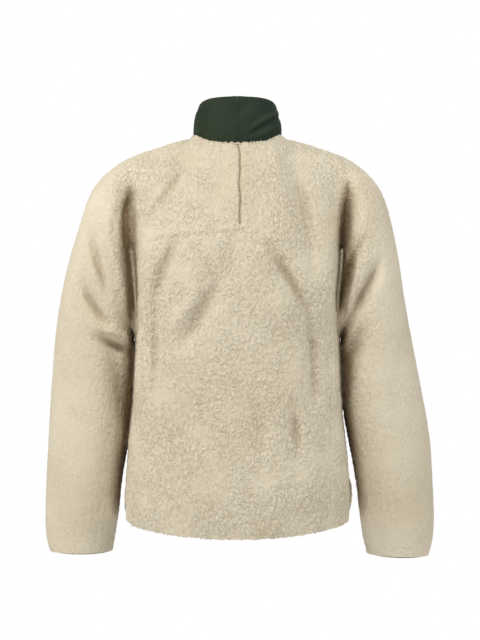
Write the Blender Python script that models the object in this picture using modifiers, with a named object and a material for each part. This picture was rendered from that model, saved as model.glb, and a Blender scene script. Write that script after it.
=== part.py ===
"""Deep-pile fleece jacket with a stand collar, filled out as if worn, zipped shut.

Metres, +Z up. The wearer faces -Y and +X is the wearer's left. The origin is the middle of the
neck opening, level with the collar seam at the centre back. The whole cloth is one coarse cage,
smoothed by subdivision, folded, and then parted along its seams into the pieces of the cut.
Each piece is a closed wall whose outer face is the tips of the pile.
"""

import math
from collections import namedtuple

import bmesh
import bpy
import numpy as np
from mathutils import Vector
from mathutils.bvhtree import BVHTree

# Driving dimensions
PILE_WALL = 0.006
WOVEN_WALL = 0.0025
BINDING_WALL = 0.0014
SEAM_GAP = 0.0003
SHARPEST_CORNER = 0.3
SHARP_EDGE = math.radians(50)
ON_CENTRE = 0.00001
ZIP_OPENING = 0.0100
ARM_ROWS = 8
TOP_ROW = 15
YOKE_ROW = 11
FRONT_YOKE_ROW = 12
ELBOW_RING = 7
RING_POINTS = 16
FIT_ROUNDS = 4

# Colours (linear) and finishes
FLEECE_COLOUR = (0.60, 0.51, 0.36, 1.0)
WOVEN_COLOUR = (0.022, 0.035, 0.022, 1.0)
TEETH_COLOUR = (0.03, 0.03, 0.03, 1.0)
METAL_COLOUR = (0.30, 0.30, 0.30, 1.0)

# Torso below the arms: height and half width at the side seam, depth to the back and to the
# front, and how much lower the row hangs at the middle of each panel.
TorsoRow = namedtuple("TorsoRow", "z half_width back front drop")
TORSO = [
    TorsoRow(-0.6895, 0.2058, 0.1270, 0.1230, 0.0195),
    TorsoRow(-0.651, 0.2078, 0.1335, 0.1290, 0.0120),
    TorsoRow(-0.610, 0.2062, 0.1360, 0.1330, 0.0060),
    TorsoRow(-0.567, 0.2030, 0.1370, 0.1360, 0.0020),
    TorsoRow(-0.524, 0.1980, 0.1365, 0.1380, 0.0000),
    TorsoRow(-0.480, 0.1935, 0.1355, 0.1400, 0.0000),
    TorsoRow(-0.436, 0.1905, 0.1345, 0.1410, 0.0000),
    TorsoRow(-0.392, 0.1890, 0.1345, 0.1420, 0.0000),
    TorsoRow(-0.350, 0.1880, 0.1350, 0.1420, 0.0000),
]

# How far each column stands from the middle of its panel, as a share of the half width.
COLUMN_SHARE = (0.0, 0.29, 0.53, 0.73, 0.893, 0.965)
SQUARENESS = 2.4

# How fast the columns draw in to the neck toward the shoulder, each way
NECK_DRAW_X = 1.5
NECK_DRAW_Y = 2.2
NECK_DRAW_Z = 3

# Back and front above the arms, row by row up to the shoulder: height and depth at the centre.
UpperRow = namedtuple("UpperRow", "back_z back_y front_z front_y")
UPPER = [
    UpperRow(-0.290, 0.1370, -0.302, -0.1420),
    UpperRow(-0.228, 0.1370, -0.256, -0.1400),
    UpperRow(-0.165, 0.1330, -0.212, -0.1350),
    UpperRow(-0.120, 0.1250, -0.171, -0.1270),
    UpperRow(-0.077, 0.1130, -0.133, -0.1150),
    UpperRow(-0.036, 0.0945, -0.098, -0.1000),
    UpperRow(0.000, 0.0720, -0.066, -0.0820),
]

# The armhole above the underarm, up to the tip of the shoulder. The cloth dips there into a crease.
ArmholeRow = namedtuple("ArmholeRow", "z x back_y front_y back_dip front_dip")
ARMHOLE = [
    ArmholeRow(-0.296, 0.1850, 0.0600, -0.0600, 0.014, 0.008),
    ArmholeRow(-0.242, 0.1890, 0.0680, -0.0680, 0.024, 0.012),
    ArmholeRow(-0.184, 0.1925, 0.0700, -0.0700, 0.030, 0.014),
    ArmholeRow(-0.126, 0.1945, 0.0640, -0.0640, 0.026, 0.010),
    ArmholeRow(-0.073, 0.1945, 0.0500, -0.0500, 0.010, 0.004),
    ArmholeRow(-0.033, 0.1930, 0.0290, -0.0290, 0.000, 0.000),
    ArmholeRow(-0.0155, 0.1900, 0.0000, 0.0000, 0.000, 0.000),
]

# The shoulder line and the neck: where each column of the two panels ends.
NeckColumn = namedtuple("NeckColumn", "x back_y back_z front_y front_z")
NECK = [
    NeckColumn(0.0000, 0.0720, 0.0000, -0.0820, -0.0660),
    NeckColumn(0.0310, 0.0680, 0.0020, -0.0780, -0.0580),
    NeckColumn(0.0620, 0.0520, 0.0090, -0.0620, -0.0330),
    NeckColumn(0.0850, 0.0050, 0.0170, 0.0050, 0.0170),
    NeckColumn(0.1400, 0.0020, 0.0015, 0.0020, 0.0015),
    NeckColumn(0.1900, 0.0000, -0.0155, 0.0000, -0.0155),
]

# Each sleeve as rings from the shoulder to the cuff: the outer and the inner point of the ring,
# its depth each way and how far forward its middle lies.
SleeveRing = namedtuple("SleeveRing", "out_x out_z in_x in_z depth middle_y")
SLEEVE_LEFT = [
    SleeveRing(0.2300, -0.0390, 0.1925, -0.3520, 0.0790, 0.0000),
    SleeveRing(0.2680, -0.0800, 0.1940, -0.3560, 0.0800, 0.0000),
    SleeveRing(0.2905, -0.1420, 0.1950, -0.3620, 0.0800, 0.0000),
    SleeveRing(0.3110, -0.2090, 0.1903, -0.3720, 0.0790, -0.0010),
    SleeveRing(0.3265, -0.2800, 0.1906, -0.3870, 0.0770, -0.0030),
    SleeveRing(0.3370, -0.3500, 0.1910, -0.4060, 0.0745, -0.0060),
    SleeveRing(0.3430, -0.4200, 0.1922, -0.4350, 0.0720, -0.0100),
    SleeveRing(0.3480, -0.4820, 0.1962, -0.4910, 0.0690, -0.0150),
    SleeveRing(0.3520, -0.5460, 0.2046, -0.5530, 0.0650, -0.0210),
    SleeveRing(0.3560, -0.6080, 0.2155, -0.6130, 0.0610, -0.0270),
    SleeveRing(0.3585, -0.6660, 0.2215, -0.6690, 0.0560, -0.0320),
    SleeveRing(0.3585, -0.7160, 0.2290, -0.7175, 0.0510, -0.0350),
    SleeveRing(0.3510, -0.7520, 0.2350, -0.7520, 0.0470, -0.0360),
]
SLEEVE_RIGHT = [
    SleeveRing(0.2280, -0.0390, 0.1925, -0.3520, 0.0790, 0.0000),
    SleeveRing(0.2640, -0.0800, 0.1940, -0.3560, 0.0800, 0.0000),
    SleeveRing(0.2840, -0.1420, 0.1945, -0.3620, 0.0800, 0.0000),
    SleeveRing(0.2980, -0.2090, 0.1903, -0.3730, 0.0790, -0.0010),
    SleeveRing(0.3090, -0.2840, 0.1906, -0.3900, 0.0770, -0.0030),
    SleeveRing(0.3240, -0.3640, 0.1915, -0.4150, 0.0745, -0.0060),
    SleeveRing(0.3430, -0.4600, 0.1948, -0.4700, 0.0720, -0.0110),
    SleeveRing(0.3530, -0.5120, 0.2020, -0.5200, 0.0690, -0.0160),
    SleeveRing(0.3600, -0.5640, 0.2120, -0.5700, 0.0650, -0.0210),
    SleeveRing(0.3635, -0.6180, 0.2215, -0.6220, 0.0610, -0.0270),
    SleeveRing(0.3665, -0.6700, 0.2280, -0.6730, 0.0560, -0.0320),
    SleeveRing(0.3660, -0.7200, 0.2350, -0.7215, 0.0510, -0.0350),
    SleeveRing(0.3575, -0.7600, 0.2430, -0.7570, 0.0470, -0.0360),
]


def blend(low, high, share):
    """Part of the way from one value to another."""
    return low + (high - low) * share


def bulge(share):
    """How far a torso section stands out at a column, from 1 at the centre to 0 at the side."""
    return (1.0 - share**SQUARENESS) ** (1.0 / SQUARENESS)


def torso_ring(row):
    """The 24 points round the torso at a row below the arms, from the centre back by the left."""
    level = TORSO[row]
    quarter = []
    for share in COLUMN_SHARE:
        quarter.append((level.half_width * share, bulge(share), level.z - level.drop * (1 - share**2)))
    left_back = [(x, level.back * out, z) for x, out, z in quarter]
    left_front = [(x, -level.front * out, z) for x, out, z in reversed(quarter)]
    half = left_back + [(level.half_width, 0.0, level.z)] + left_front
    other = [(-x, y, z) for x, y, z in reversed(half[1:-1])]
    return half + other


def upper_point(level, index, side, facing):
    """A point of the back or front above the arms; level 0 is the first row over the underarm."""
    arm, row, neck, tip = ARMHOLE[level], UPPER[level], NECK[index], ARMHOLE[-1]
    if facing > 0:
        ridge_y, arm_y = arm.back_y, arm.back_y - arm.back_dip
        centre_z, centre_y, top_z = row.back_z, row.back_y, UPPER[-1].back_z
        end_y, end_z, top_y = neck.back_y, neck.back_z, UPPER[-1].back_y
    else:
        ridge_y, arm_y = arm.front_y, arm.front_y + arm.front_dip
        centre_z, centre_y, top_z = row.front_z, row.front_y, UPPER[-1].front_z
        end_y, end_z, top_y = neck.front_y, neck.front_z, UPPER[-1].front_y
    if index == len(COLUMN_SHARE) - 1:
        return (side * arm.x, arm_y, arm.z)
    share = COLUMN_SHARE[index] / COLUMN_SHARE[-1]
    rise = level / (len(UPPER) - 1)
    x = blend(arm.x * share, neck.x, rise**NECK_DRAW_X)
    edge = bulge(COLUMN_SHARE[-1])
    stand = (bulge(COLUMN_SHARE[index]) - edge) / (1.0 - edge)
    top_stand = (end_y - tip.back_y) / top_y
    y = blend(ridge_y, centre_y, blend(stand, top_stand, rise**NECK_DRAW_Y))
    slope = share**2
    top_z = blend(top_z, tip.z, slope)
    z = blend(centre_z, arm.z, slope) + (end_z - top_z) * rise**NECK_DRAW_Z
    return (side * x, y, z)


def sleeve_ring(table, number, side):
    """The points round a sleeve, from its outer point by the back."""
    row = table[number]
    middle = Vector(((row.out_x + row.in_x) / 2, row.middle_y, (row.out_z + row.in_z) / 2))
    reach = Vector((row.out_x - row.in_x, 0.0, row.out_z - row.in_z)) / 2
    points = []
    for step in range(RING_POINTS):
        angle = 2 * math.pi * step / RING_POINTS
        point = middle + reach * math.cos(angle) + Vector((0, row.depth * math.sin(angle), 0))
        points.append((side * point.x, point.y, point.z))
    return points


def build_cage():
    """The whole garment as one open cage; each face carries the number of its panel."""
    mesh = bmesh.new()
    panel_layer = mesh.faces.layers.int.new("panel")
    torso = {}
    for row in range(ARM_ROWS + 1):
        for place, point in enumerate(torso_ring(row)):
            torso[row, place] = mesh.verts.new(point)
    back_places = {0: (0, 1), 1: (1, 1), 2: (2, 1), 3: (3, 1), 4: (4, 1), 5: (5, 1)}
    back_places.update({19: (5, -1), 20: (4, -1), 21: (3, -1), 22: (2, -1), 23: (1, -1)})
    front_places = {7: (5, 1), 8: (4, 1), 9: (3, 1), 10: (2, 1), 11: (1, 1), 12: (0, 1)}
    front_places.update({13: (1, -1), 14: (2, -1), 15: (3, -1), 16: (4, -1), 17: (5, -1)})
    shoulder = {7: 5, 8: 4, 9: 3, 15: 21, 16: 20, 17: 19}
    for row in range(ARM_ROWS + 1, TOP_ROW + 1):
        level = row - ARM_ROWS - 1
        for place, (index, side) in back_places.items():
            torso[row, place] = mesh.verts.new(upper_point(level, index, side, 1))
        for place, (index, side) in front_places.items():
            if row == TOP_ROW and place in shoulder:
                torso[row, place] = torso[row, shoulder[place]]
            else:
                torso[row, place] = mesh.verts.new(upper_point(level, index, side, -1))
    for row in range(TOP_ROW):
        for place in range(24):
            after = (place + 1) % 24
            if row >= ARM_ROWS and (place in (5, 6, 17, 18)):
                continue
            corners = (torso[row, place], torso[row, after], torso[row + 1, after], torso[row + 1, place])
            face = mesh.faces.new(corners)
            face[panel_layer] = torso_panel(row, place)
    for side, table in ((1, SLEEVE_LEFT), (-1, SLEEVE_RIGHT)):
        back_place, side_place, front_place = (5, 6, 7) if side > 0 else (19, 18, 17)
        ring = [torso[TOP_ROW, back_place]]
        ring += [torso[row, back_place] for row in range(TOP_ROW - 1, ARM_ROWS - 1, -1)]
        ring += [torso[ARM_ROWS, side_place]]
        ring += [torso[row, front_place] for row in range(ARM_ROWS, TOP_ROW)]
        for number in range(len(table)):
            lower = [mesh.verts.new(point) for point in sleeve_ring(table, number, side)]
            for step in range(RING_POINTS):
                after = (step + 1) % RING_POINTS
                face = mesh.faces.new((ring[step], ring[after], lower[after], lower[step]))
                upper_half = number < ELBOW_RING
                face[panel_layer] = SLEEVE_PANELS[side, upper_half]
            ring = lower
    bmesh.ops.recalc_face_normals(mesh, faces=mesh.faces)
    mesh.normal_update()
    mesh.faces.ensure_lookup_table()
    if mesh.faces[0].normal.y < 0:
        bmesh.ops.reverse_faces(mesh, faces=mesh.faces)
    return mesh


PANELS = (
    "back",
    "front_left",
    "front_right",
    "yoke_sleeve_left",
    "yoke_sleeve_right",
    "lower_sleeve_left",
    "lower_sleeve_right",
)
FRONT_SIDES = {1: 1, 2: -1, 3: 1, 4: -1}
SLEEVE_PANELS = {(1, True): 3, (-1, True): 4, (1, False): 5, (-1, False): 6}


def torso_panel(row, place):
    """Which panel of the cut a torso face belongs to."""
    is_back = place < 6 or place >= 18
    is_left = place < 12
    if is_back and row < YOKE_ROW:
        return 0
    if not is_back and row < FRONT_YOKE_ROW:
        return 1 if is_left else 2
    return 3 if is_left else 4


# The large folds: where each starts, turns and ends, which face it is on (1 is the back),
# how wide it is to each side and how deep. A negative depth stands out.
Fold = namedtuple("Fold", "x1 z1 x2 z2 x3 z3 facing width depth")
FOLDS = [
    Fold(0.111, -0.187, 0.141, -0.240, 0.150, -0.340, 1, 0.015, 0.0065),
    Fold(0.150, -0.320, 0.152, -0.390, 0.152, -0.480, 1, 0.015, 0.0060),
    Fold(0.171, -0.180, 0.174, -0.330, 0.172, -0.500, 1, 0.012, -0.0040),
    Fold(-0.061, -0.190, -0.102, -0.258, -0.137, -0.345, 1, 0.016, 0.0075),
    Fold(-0.134, -0.340, -0.135, -0.410, -0.132, -0.500, 1, 0.014, 0.0050),
    Fold(-0.163, -0.180, -0.166, -0.300, -0.165, -0.470, 1, 0.012, -0.0040),
    Fold(-0.098, -0.470, -0.104, -0.533, -0.112, -0.590, 1, 0.016, 0.0050),
    Fold(0.013, -0.190, 0.043, -0.267, 0.078, -0.345, 1, 0.022, 0.0050),
    Fold(0.055, -0.410, 0.084, -0.497, 0.112, -0.580, 1, 0.024, 0.0040),
    Fold(-0.015, -0.400, -0.030, -0.480, -0.030, -0.580, 1, 0.024, 0.0030),
    Fold(0.103, -0.042, 0.130, -0.087, 0.157, -0.135, 1, 0.014, 0.0050),
    Fold(-0.106, -0.060, -0.121, -0.115, -0.131, -0.165, 1, 0.014, 0.0050),
    Fold(0.267, -0.160, 0.256, -0.215, 0.235, -0.270, 1, 0.013, 0.0060),
    Fold(0.282, -0.250, 0.264, -0.302, 0.225, -0.335, 1, 0.014, 0.0070),
    Fold(0.255, -0.352, 0.230, -0.368, 0.200, -0.378, 1, 0.012, 0.0060),
    Fold(0.258, -0.325, 0.225, -0.345, 0.195, -0.350, 1, 0.010, -0.0040),
    Fold(-0.228, -0.178, -0.197, -0.238, -0.184, -0.290, 1, 0.011, 0.0110),
    Fold(-0.258, -0.215, -0.228, -0.275, -0.200, -0.325, 1, 0.014, 0.0070),
    Fold(-0.240, -0.330, -0.215, -0.360, -0.196, -0.400, 1, 0.014, 0.0060),
    Fold(0.300, -0.330, 0.285, -0.420, 0.290, -0.500, 1, 0.030, 0.0040),
    Fold(-0.300, -0.380, -0.280, -0.460, -0.290, -0.540, 1, 0.030, 0.0040),
    Fold(0.060, -0.150, 0.110, -0.190, 0.150, -0.270, -1, 0.018, 0.0060),
    Fold(-0.055, -0.160, -0.100, -0.205, -0.145, -0.290, -1, 0.018, 0.0065),
    Fold(0.030, -0.250, 0.080, -0.310, 0.140, -0.350, -1, 0.022, 0.0050),
    Fold(-0.040, -0.290, -0.085, -0.340, -0.135, -0.375, -1, 0.022, 0.0045),
    Fold(0.100, -0.430, 0.080, -0.510, 0.085, -0.600, -1, 0.024, 0.0045),
    Fold(-0.110, -0.450, -0.095, -0.530, -0.080, -0.610, -1, 0.024, 0.0040),
    Fold(0.265, -0.150, 0.250, -0.220, 0.215, -0.290, -1, 0.014, 0.0070),
    Fold(-0.262, -0.165, -0.240, -0.235, -0.205, -0.300, -1, 0.014, 0.0065),
    Fold(0.300, -0.330, 0.255, -0.370, 0.205, -0.385, -1, 0.014, 0.0070),
    Fold(-0.300, -0.380, -0.255, -0.415, -0.205, -0.430, -1, 0.014, 0.0070),
    Fold(0.315, -0.390, 0.270, -0.430, 0.225, -0.440, -1, 0.014, 0.0060),
    Fold(-0.315, -0.450, -0.275, -0.480, -0.230, -0.480, -1, 0.014, 0.0055),
]
FOLD_STEPS = 16
FOLD_END = 0.04
FOLD_WRAP = 2.5


def fold_push(points, normals):
    """How far each point of the cloth sinks into the folds."""
    push = np.zeros(len(points))
    flat = points[:, [0, 2]]
    for fold in FOLDS:
        start = np.array((fold.x1, fold.z1))
        turn = np.array((fold.x2, fold.z2))
        end = np.array((fold.x3, fold.z3))
        nearest = np.full(len(points), np.inf)
        along = np.zeros(len(points))
        for step in range(FOLD_STEPS + 1):
            share = step / FOLD_STEPS
            place = start * (1 - share) ** 2 + turn * 2 * share * (1 - share) + end * share**2
            distance = np.linalg.norm(flat - place, axis=1)
            along = np.where(distance < nearest, share, along)
            nearest = np.minimum(nearest, distance)
        taper = np.sqrt(np.sin(np.pi * blend(FOLD_END, 1 - FOLD_END, along)))
        faces_it = np.clip(normals[:, 1] * fold.facing * FOLD_WRAP, 0, 1)
        push += fold.depth * np.exp(-((nearest / fold.width) ** 2)) * taper * faces_it
    return push


def mesh_arrays(mesh):
    """The points and the point normals of a mesh."""
    points = np.empty(len(mesh.vertices) * 3)
    mesh.vertices.foreach_get("co", points)
    normals = np.empty(len(mesh.vertices) * 3)
    mesh.vertices.foreach_get("normal", normals)
    return points.reshape(-1, 3), normals.reshape(-1, 3)


def smooth_cloth():
    """The cage smoothed once, pushed out until the smooth cloth passes through its points."""
    cage = build_cage()
    mesh = bpy.data.meshes.new("cloth_cage")
    cage.to_mesh(mesh)
    cage.free()
    cloth = bpy.data.objects.new("cloth_cage", mesh)
    bpy.context.scene.collection.objects.link(cloth)
    smoothing = cloth.modifiers.new("smooth", "SUBSURF")
    smoothing.levels = 1
    smoothing.render_levels = 1
    wanted, _ = mesh_arrays(mesh)
    reached = wanted.copy()
    for _ in range(FIT_ROUNDS):
        evaluated = cloth.evaluated_get(bpy.context.evaluated_depsgraph_get())
        points, _ = mesh_arrays(evaluated.data)
        reached += wanted - points[: len(wanted)]
        mesh.vertices.foreach_set("co", reached.ravel())
        mesh.update()
    evaluated = cloth.evaluated_get(bpy.context.evaluated_depsgraph_get())
    smooth = bpy.data.meshes.new_from_object(evaluated)
    bpy.data.objects.remove(cloth)
    points, normals = mesh_arrays(smooth)
    points -= normals * fold_push(points, normals)[:, None]
    smooth.vertices.foreach_set("co", points.ravel())
    smooth.update()
    return smooth


def finish(name, parts, material):
    """A mesh object of its own in the parts collection, closed and facing out."""
    mesh = bpy.data.meshes.new(name)
    bmesh.ops.recalc_face_normals(parts, faces=parts.faces)
    parts.to_mesh(mesh)
    parts.free()
    mesh.materials.append(material)
    item = bpy.data.objects.new(name, mesh)
    garment.objects.link(item)
    mesh.shade_smooth()
    mesh.set_sharp_from_angle(angle=SHARP_EDGE)
    return item


def plain_material(name, colour, roughness, metallic=0.0):
    """A Principled finish of one colour."""
    material = bpy.data.materials.new(name)
    material.use_nodes = True
    shader = material.node_tree.nodes["Principled BSDF"]
    shader.inputs["Base Color"].default_value = colour
    shader.inputs["Roughness"].default_value = roughness
    shader.inputs["Metallic"].default_value = metallic
    return material


def panel_wall(name, number, cloth, panel_of_face, points, normals, material):
    """One panel of the cut as a closed wall, drawn back by half the seam gap at its edges."""
    faces = [tuple(face.vertices) for face in cloth.polygons if panel_of_face[face.index] == number]
    used = sorted({corner for face in faces for corner in face})
    edge_use = {}
    for face in faces:
        for one, two in zip(face, face[1:] + face[:1]):
            edge_use.setdefault(frozenset((one, two)), []).append((one, two, face))
    rim = [uses[0] for uses in edge_use.values() if len(uses) == 1]
    draw = {}
    for one, two, face in rim:
        run = points[two] - points[one]
        middle = points[list(face)].mean(axis=0)
        inward = np.cross(normals[one] + normals[two], run)
        inward /= np.linalg.norm(inward)
        inward *= np.sign(np.dot(inward, middle - points[one]))
        for corner in (one, two):
            draw.setdefault(corner, []).append(inward)
    outer = {corner: points[corner].copy() for corner in used}
    inner = {corner: points[corner] - normals[corner] * PILE_WALL for corner in used}
    for corner, pulls in draw.items():
        pull = np.mean(pulls, axis=0)
        pull *= SEAM_GAP / 2 / max(np.dot(pull, pull), SHARPEST_CORNER)
        outer[corner] += pull
        inner[corner] += pull
    if number in FRONT_SIDES:
        side = FRONT_SIDES[number]
        for corner in draw:
            if abs(points[corner][0]) < ON_CENTRE and points[corner][1] < 0:
                outer[corner][0] = side * ZIP_OPENING / 2
                inner[corner][0] = side * ZIP_OPENING / 2
    parts = bmesh.new()
    top = {corner: parts.verts.new(outer[corner]) for corner in used}
    under = {corner: parts.verts.new(inner[corner]) for corner in used}
    for face in faces:
        parts.faces.new([top[corner] for corner in face])
        parts.faces.new([under[corner] for corner in reversed(face)])
    for one, two, _ in rim:
        low, high = min(one, two), max(one, two)
        parts.faces.new((top[low], top[high], under[high]))
        parts.faces.new((top[low], under[high], under[low]))
    finish(name, parts, material)
    return outer, inner


def ordered_loop(edges, start):
    """The points of one open edge loop in order from a start point."""
    beside = {}
    for one, two in edges:
        beside.setdefault(one, []).append(two)
        beside.setdefault(two, []).append(one)
    loop = [start, beside[start][0]]
    while True:
        onward = [place for place in beside[loop[-1]] if place != loop[-2]]
        if onward[0] == start:
            return loop
        loop.append(onward[0])


def open_edges(mesh):
    """The edges of a mesh that belong to one face."""
    uses = {}
    for face in mesh.polygons:
        for key in face.edge_keys:
            uses[key] = uses.get(key, 0) + 1
    return [key for key, count in uses.items() if count == 1]


def loft(rows, closed, material, name):
    """A closed solid from sections: each row is the section's points in order round it."""
    parts = bmesh.new()
    made = [[parts.verts.new(point) for point in row] for row in rows]
    pairs = list(zip(made, made[1:]))
    if closed:
        pairs.append((made[-1], made[0]))
    for near, far in pairs:
        for step in range(len(near)):
            after = (step + 1) % len(near)
            parts.faces.new((near[step], near[after], far[after], far[step]))
    if not closed:
        parts.faces.new(made[0])
        parts.faces.new(list(reversed(made[-1])))
    return finish(name, parts, material)


# The collar's top edge and the slow curve of its sides
COLLAR_TUCK = 0.0050
COLLAR_CLEAR = 0.0008
COLLAR_TOP_HALF_WIDTH = 0.0740
COLLAR_TOP_BACK_Y = 0.0545
COLLAR_TOP_FRONT_Y = -0.0740
COLLAR_TOP_BACK_Z = 0.0860
COLLAR_TOP_SIDE_Z = 0.0685
COLLAR_TOP_FRONT_Z = 0.0200
COLLAR_ROWS = (0.0, 0.10, 0.30, 0.52, 0.74, 0.90, 1.0)
COLLAR_BOW = 0.0030
COLLAR_ROLL = (0.0, 0.0, 0.0, 0.0, 0.0, 0.0004, 0.0020)


def collar_sections(neck_outer, neck_inner):
    """For each point of the neck the collar's section: its outer face up, then its inner face down."""
    sections = []
    for outer, inner in zip(neck_outer, neck_inner):
        radius = min(math.hypot(outer[0], outer[1]), math.hypot(inner[0], inner[1])) - COLLAR_CLEAR
        angle = math.atan2(outer[0], outer[1])
        base = np.array((radius * math.sin(angle), radius * math.cos(angle), outer[2] - COLLAR_TUCK))
        to_back = math.cos(angle)
        top_y = COLLAR_TOP_BACK_Y * to_back if to_back > 0 else -COLLAR_TOP_FRONT_Y * to_back
        level = blend(COLLAR_TOP_FRONT_Z, COLLAR_TOP_BACK_Z, (1 + to_back) / 2)
        middle_level = (COLLAR_TOP_FRONT_Z + COLLAR_TOP_BACK_Z) / 2
        level += (COLLAR_TOP_SIDE_Z - middle_level) * math.sin(angle) ** 2
        top = np.array((COLLAR_TOP_HALF_WIDTH * math.sin(angle), top_y, level))
        away = np.array((math.sin(angle), math.cos(angle), 0.0))
        outside = []
        inside = []
        for share, roll in zip(COLLAR_ROWS, COLLAR_ROLL):
            point = blend(base, top, share)
            point = point + away * (COLLAR_BOW * math.sin(math.pi * share) - roll)
            outside.append(point)
            inside.append(point - away * (WOVEN_WALL - roll / 2))
        sections.append(outside + inside[::-1])
    return sections


def at_x(section, x):
    """A section slid sideways to a plane of constant x."""
    return [np.array((x, point[1], point[2])) for point in section]


# Bindings: how far they reach up inside the wall and how far they show below it
BINDING_TALL = 0.0110
BINDING_CLEAR = 0.0005
CUFF_PEEK = 0.0028
HEM_PEEK = 0.0005
HEM_CORNER_PEEK = 0.0045
HEM_CORNER_SPREAD = 0.0220


def binding_section(edge, above, into, peek):
    """Four points round a binding that lies inside the edge of a wall."""
    up = (above - edge) / np.linalg.norm(above - edge)
    top = edge + up * BINDING_TALL + into * BINDING_CLEAR
    low = edge - up * peek + into * BINDING_CLEAR
    return [low, top, top + into * BINDING_WALL, low + into * BINDING_WALL]


# The front zip
TAPE_WALL = 0.0010
TAPE_INNER_X = 0.0016
TAPE_CLEAR = 0.0005
CHAIN_HALF_WIDTH = 0.0028
CHAIN_WALL = 0.0020
SLIDER_Z = 0.0030
SLIDER_SIZE = (0.0088, 0.0058, 0.0115)
STOP_SIZE = (0.0028, 0.0030, 0.0030)
BOX_SIZE = (0.0086, 0.0036, 0.0100)
SLIDER_ROUNDING = 0.0008
STOP_ROUNDING = 0.0004
BOX_ROUNDING = 0.0006
AXIS_OFF_SLIDER = 0.0016
BAIL_HALF_WIDTH = 0.0011
BAIL_WIRE = 0.0012
BAIL_HALF_HEIGHT = 0.0044
BAIL_ROOT = 0.0010
BAIL_CORNER = 0.70
BORE_CORNER = 0.80
TAB_HALF_WIDTH = 0.0034
TAB_SHOULDER = 0.0030
TAB_CHAMFER = 0.0006
TAB_LENGTH = 0.0270
TAB_WALL = 0.0014
TAB_BAR = 0.0008
TAB_EYE_HALF_WIDTH = 0.0019
TAB_EYE_LENGTH = 0.0066
TAB_HOLE_RADIUS = 0.0011


def box(name, centre, size, material, rounding):
    """A box with rounded edges."""
    bpy.ops.mesh.primitive_cube_add(size=1, location=centre)
    item = bpy.context.object
    item.name = name
    item.data.name = name
    item.data.transform(item.matrix_basis.to_3x3().to_4x4())
    for vertex in item.data.vertices:
        vertex.co = Vector([place * length for place, length in zip(vertex.co, size)])
    edges = item.modifiers.new("rounded", "BEVEL")
    edges.width = rounding
    edges.segments = 2
    item.data.materials.append(material)
    for holder in list(item.users_collection):
        holder.objects.unlink(item)
    garment.objects.link(item)
    return item


def outline_plate(name, rings, wall, material):
    """A flat plate in the XZ plane through the origin, cut from one outline and its holes."""
    curve = bpy.data.curves.new(name, "CURVE")
    curve.dimensions = "2D"
    curve.fill_mode = "BOTH"
    curve.extrude = wall / 2
    for ring in rings:
        spline = curve.splines.new("POLY")
        spline.points.add(len(ring) - 1)
        for point, (x, z) in zip(spline.points, ring):
            point.co = (x, z, 0, 1)
        spline.use_cyclic_u = True
    holder = bpy.data.objects.new(name + "_outline", curve)
    bpy.context.scene.collection.objects.link(holder)
    evaluated = holder.evaluated_get(bpy.context.evaluated_depsgraph_get())
    flat = bpy.data.meshes.new_from_object(evaluated)
    bpy.data.objects.remove(holder)
    parts = bmesh.new()
    parts.from_mesh(flat)
    bmesh.ops.remove_doubles(parts, verts=parts.verts, dist=0.00001)
    for vertex in parts.verts:
        vertex.co = Vector((vertex.co.x, -vertex.co.z, vertex.co.y))
    return finish(name, parts, material)


def arc(centre, radius, start, end, steps):
    """Points along an arc in degrees."""
    found = []
    for step in range(steps + 1):
        angle = math.radians(blend(start, end, step / steps))
        found.append((centre[0] + radius * math.cos(angle), centre[1] + radius * math.sin(angle)))
    return found


# The hand pockets: a slanted mouth from the side seam up and forward, with a padded fleece lip
POCKET_LOW_Z = -0.6680
POCKET_HIGH_Z = -0.5350
POCKET_LOW_TURN = -4.0
POCKET_HIGH_TURN = 34.0
POCKET_STATIONS = 14
LIP_WIDTH = 0.0150
LIP_STAND_LEFT = 0.0024
LIP_STAND_RIGHT = 0.0062
LIP_CLEAR = 0.0009
MOUTH_WIDTH = 0.0050
MOUTH_WALL = 0.0016
STRIP_END = 0.08
STRIP_FULL = 0.94
STRIP_LOW = 1.6
STRIP_LEAST_WIDE = 0.35
STRIP_LEAST_HIGH = 0.45
STRIP_ROUND = 0.2
STRIP_SIDE = 0.6


def pocket_line(surface, side):
    """Along the mouth of a pocket: the point on the cloth, its normal and the way across."""
    found = []
    for step in range(POCKET_STATIONS + 1):
        share = step / POCKET_STATIONS
        turn = math.radians(blend(POCKET_LOW_TURN, POCKET_HIGH_TURN, share))
        z = blend(POCKET_LOW_Z, POCKET_HIGH_Z, share)
        way = Vector((side * math.cos(turn), -math.sin(turn), 0))
        hit, normal, _, _ = surface.ray_cast(Vector((0, 0, z)), way)
        found.append((hit, normal if normal.dot(way) > 0 else -normal))
    line = []
    for step, (hit, normal) in enumerate(found):
        before = found[max(step - 1, 0)][0]
        beyond = found[min(step + 1, POCKET_STATIONS)][0]
        across = (beyond - before).cross(normal).normalized() * side
        line.append((np.array(hit), np.array(normal), np.array(across)))
    return line


def pocket_strip(name, surface, line, material, width, stand, shift):
    """A strip along a pocket's mouth, thin at both ends and fullest low down."""
    sections = []
    for step, (point, normal, across) in enumerate(line):
        share = step / POCKET_STATIONS
        full = math.sin(math.pi * blend(STRIP_END, 1 - STRIP_END, share))
        fullest = math.sin(math.pi * STRIP_FULL * (1 - share) ** STRIP_LOW)
        half = width / 2 * blend(STRIP_LEAST_WIDE, 1.0, full)
        high = stand * blend(STRIP_LEAST_HIGH, 1.0, fullest)
        middle = point + across * shift
        lift = normal * LIP_CLEAR
        feet = []
        for way in (-1, 0, 1):
            seat, _, _, _ = surface.find_nearest(Vector(middle + across * half * way))
            feet.append(np.array(seat) + lift)
        low, under, high_side = feet
        corner = across * half * STRIP_ROUND
        rise = normal * high * STRIP_SIDE
        section = [low, low + corner + rise, under + normal * high]
        section += [high_side - corner + rise, high_side, under]
        sections.append(section)
    return loft(sections, False, material, name)


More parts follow.
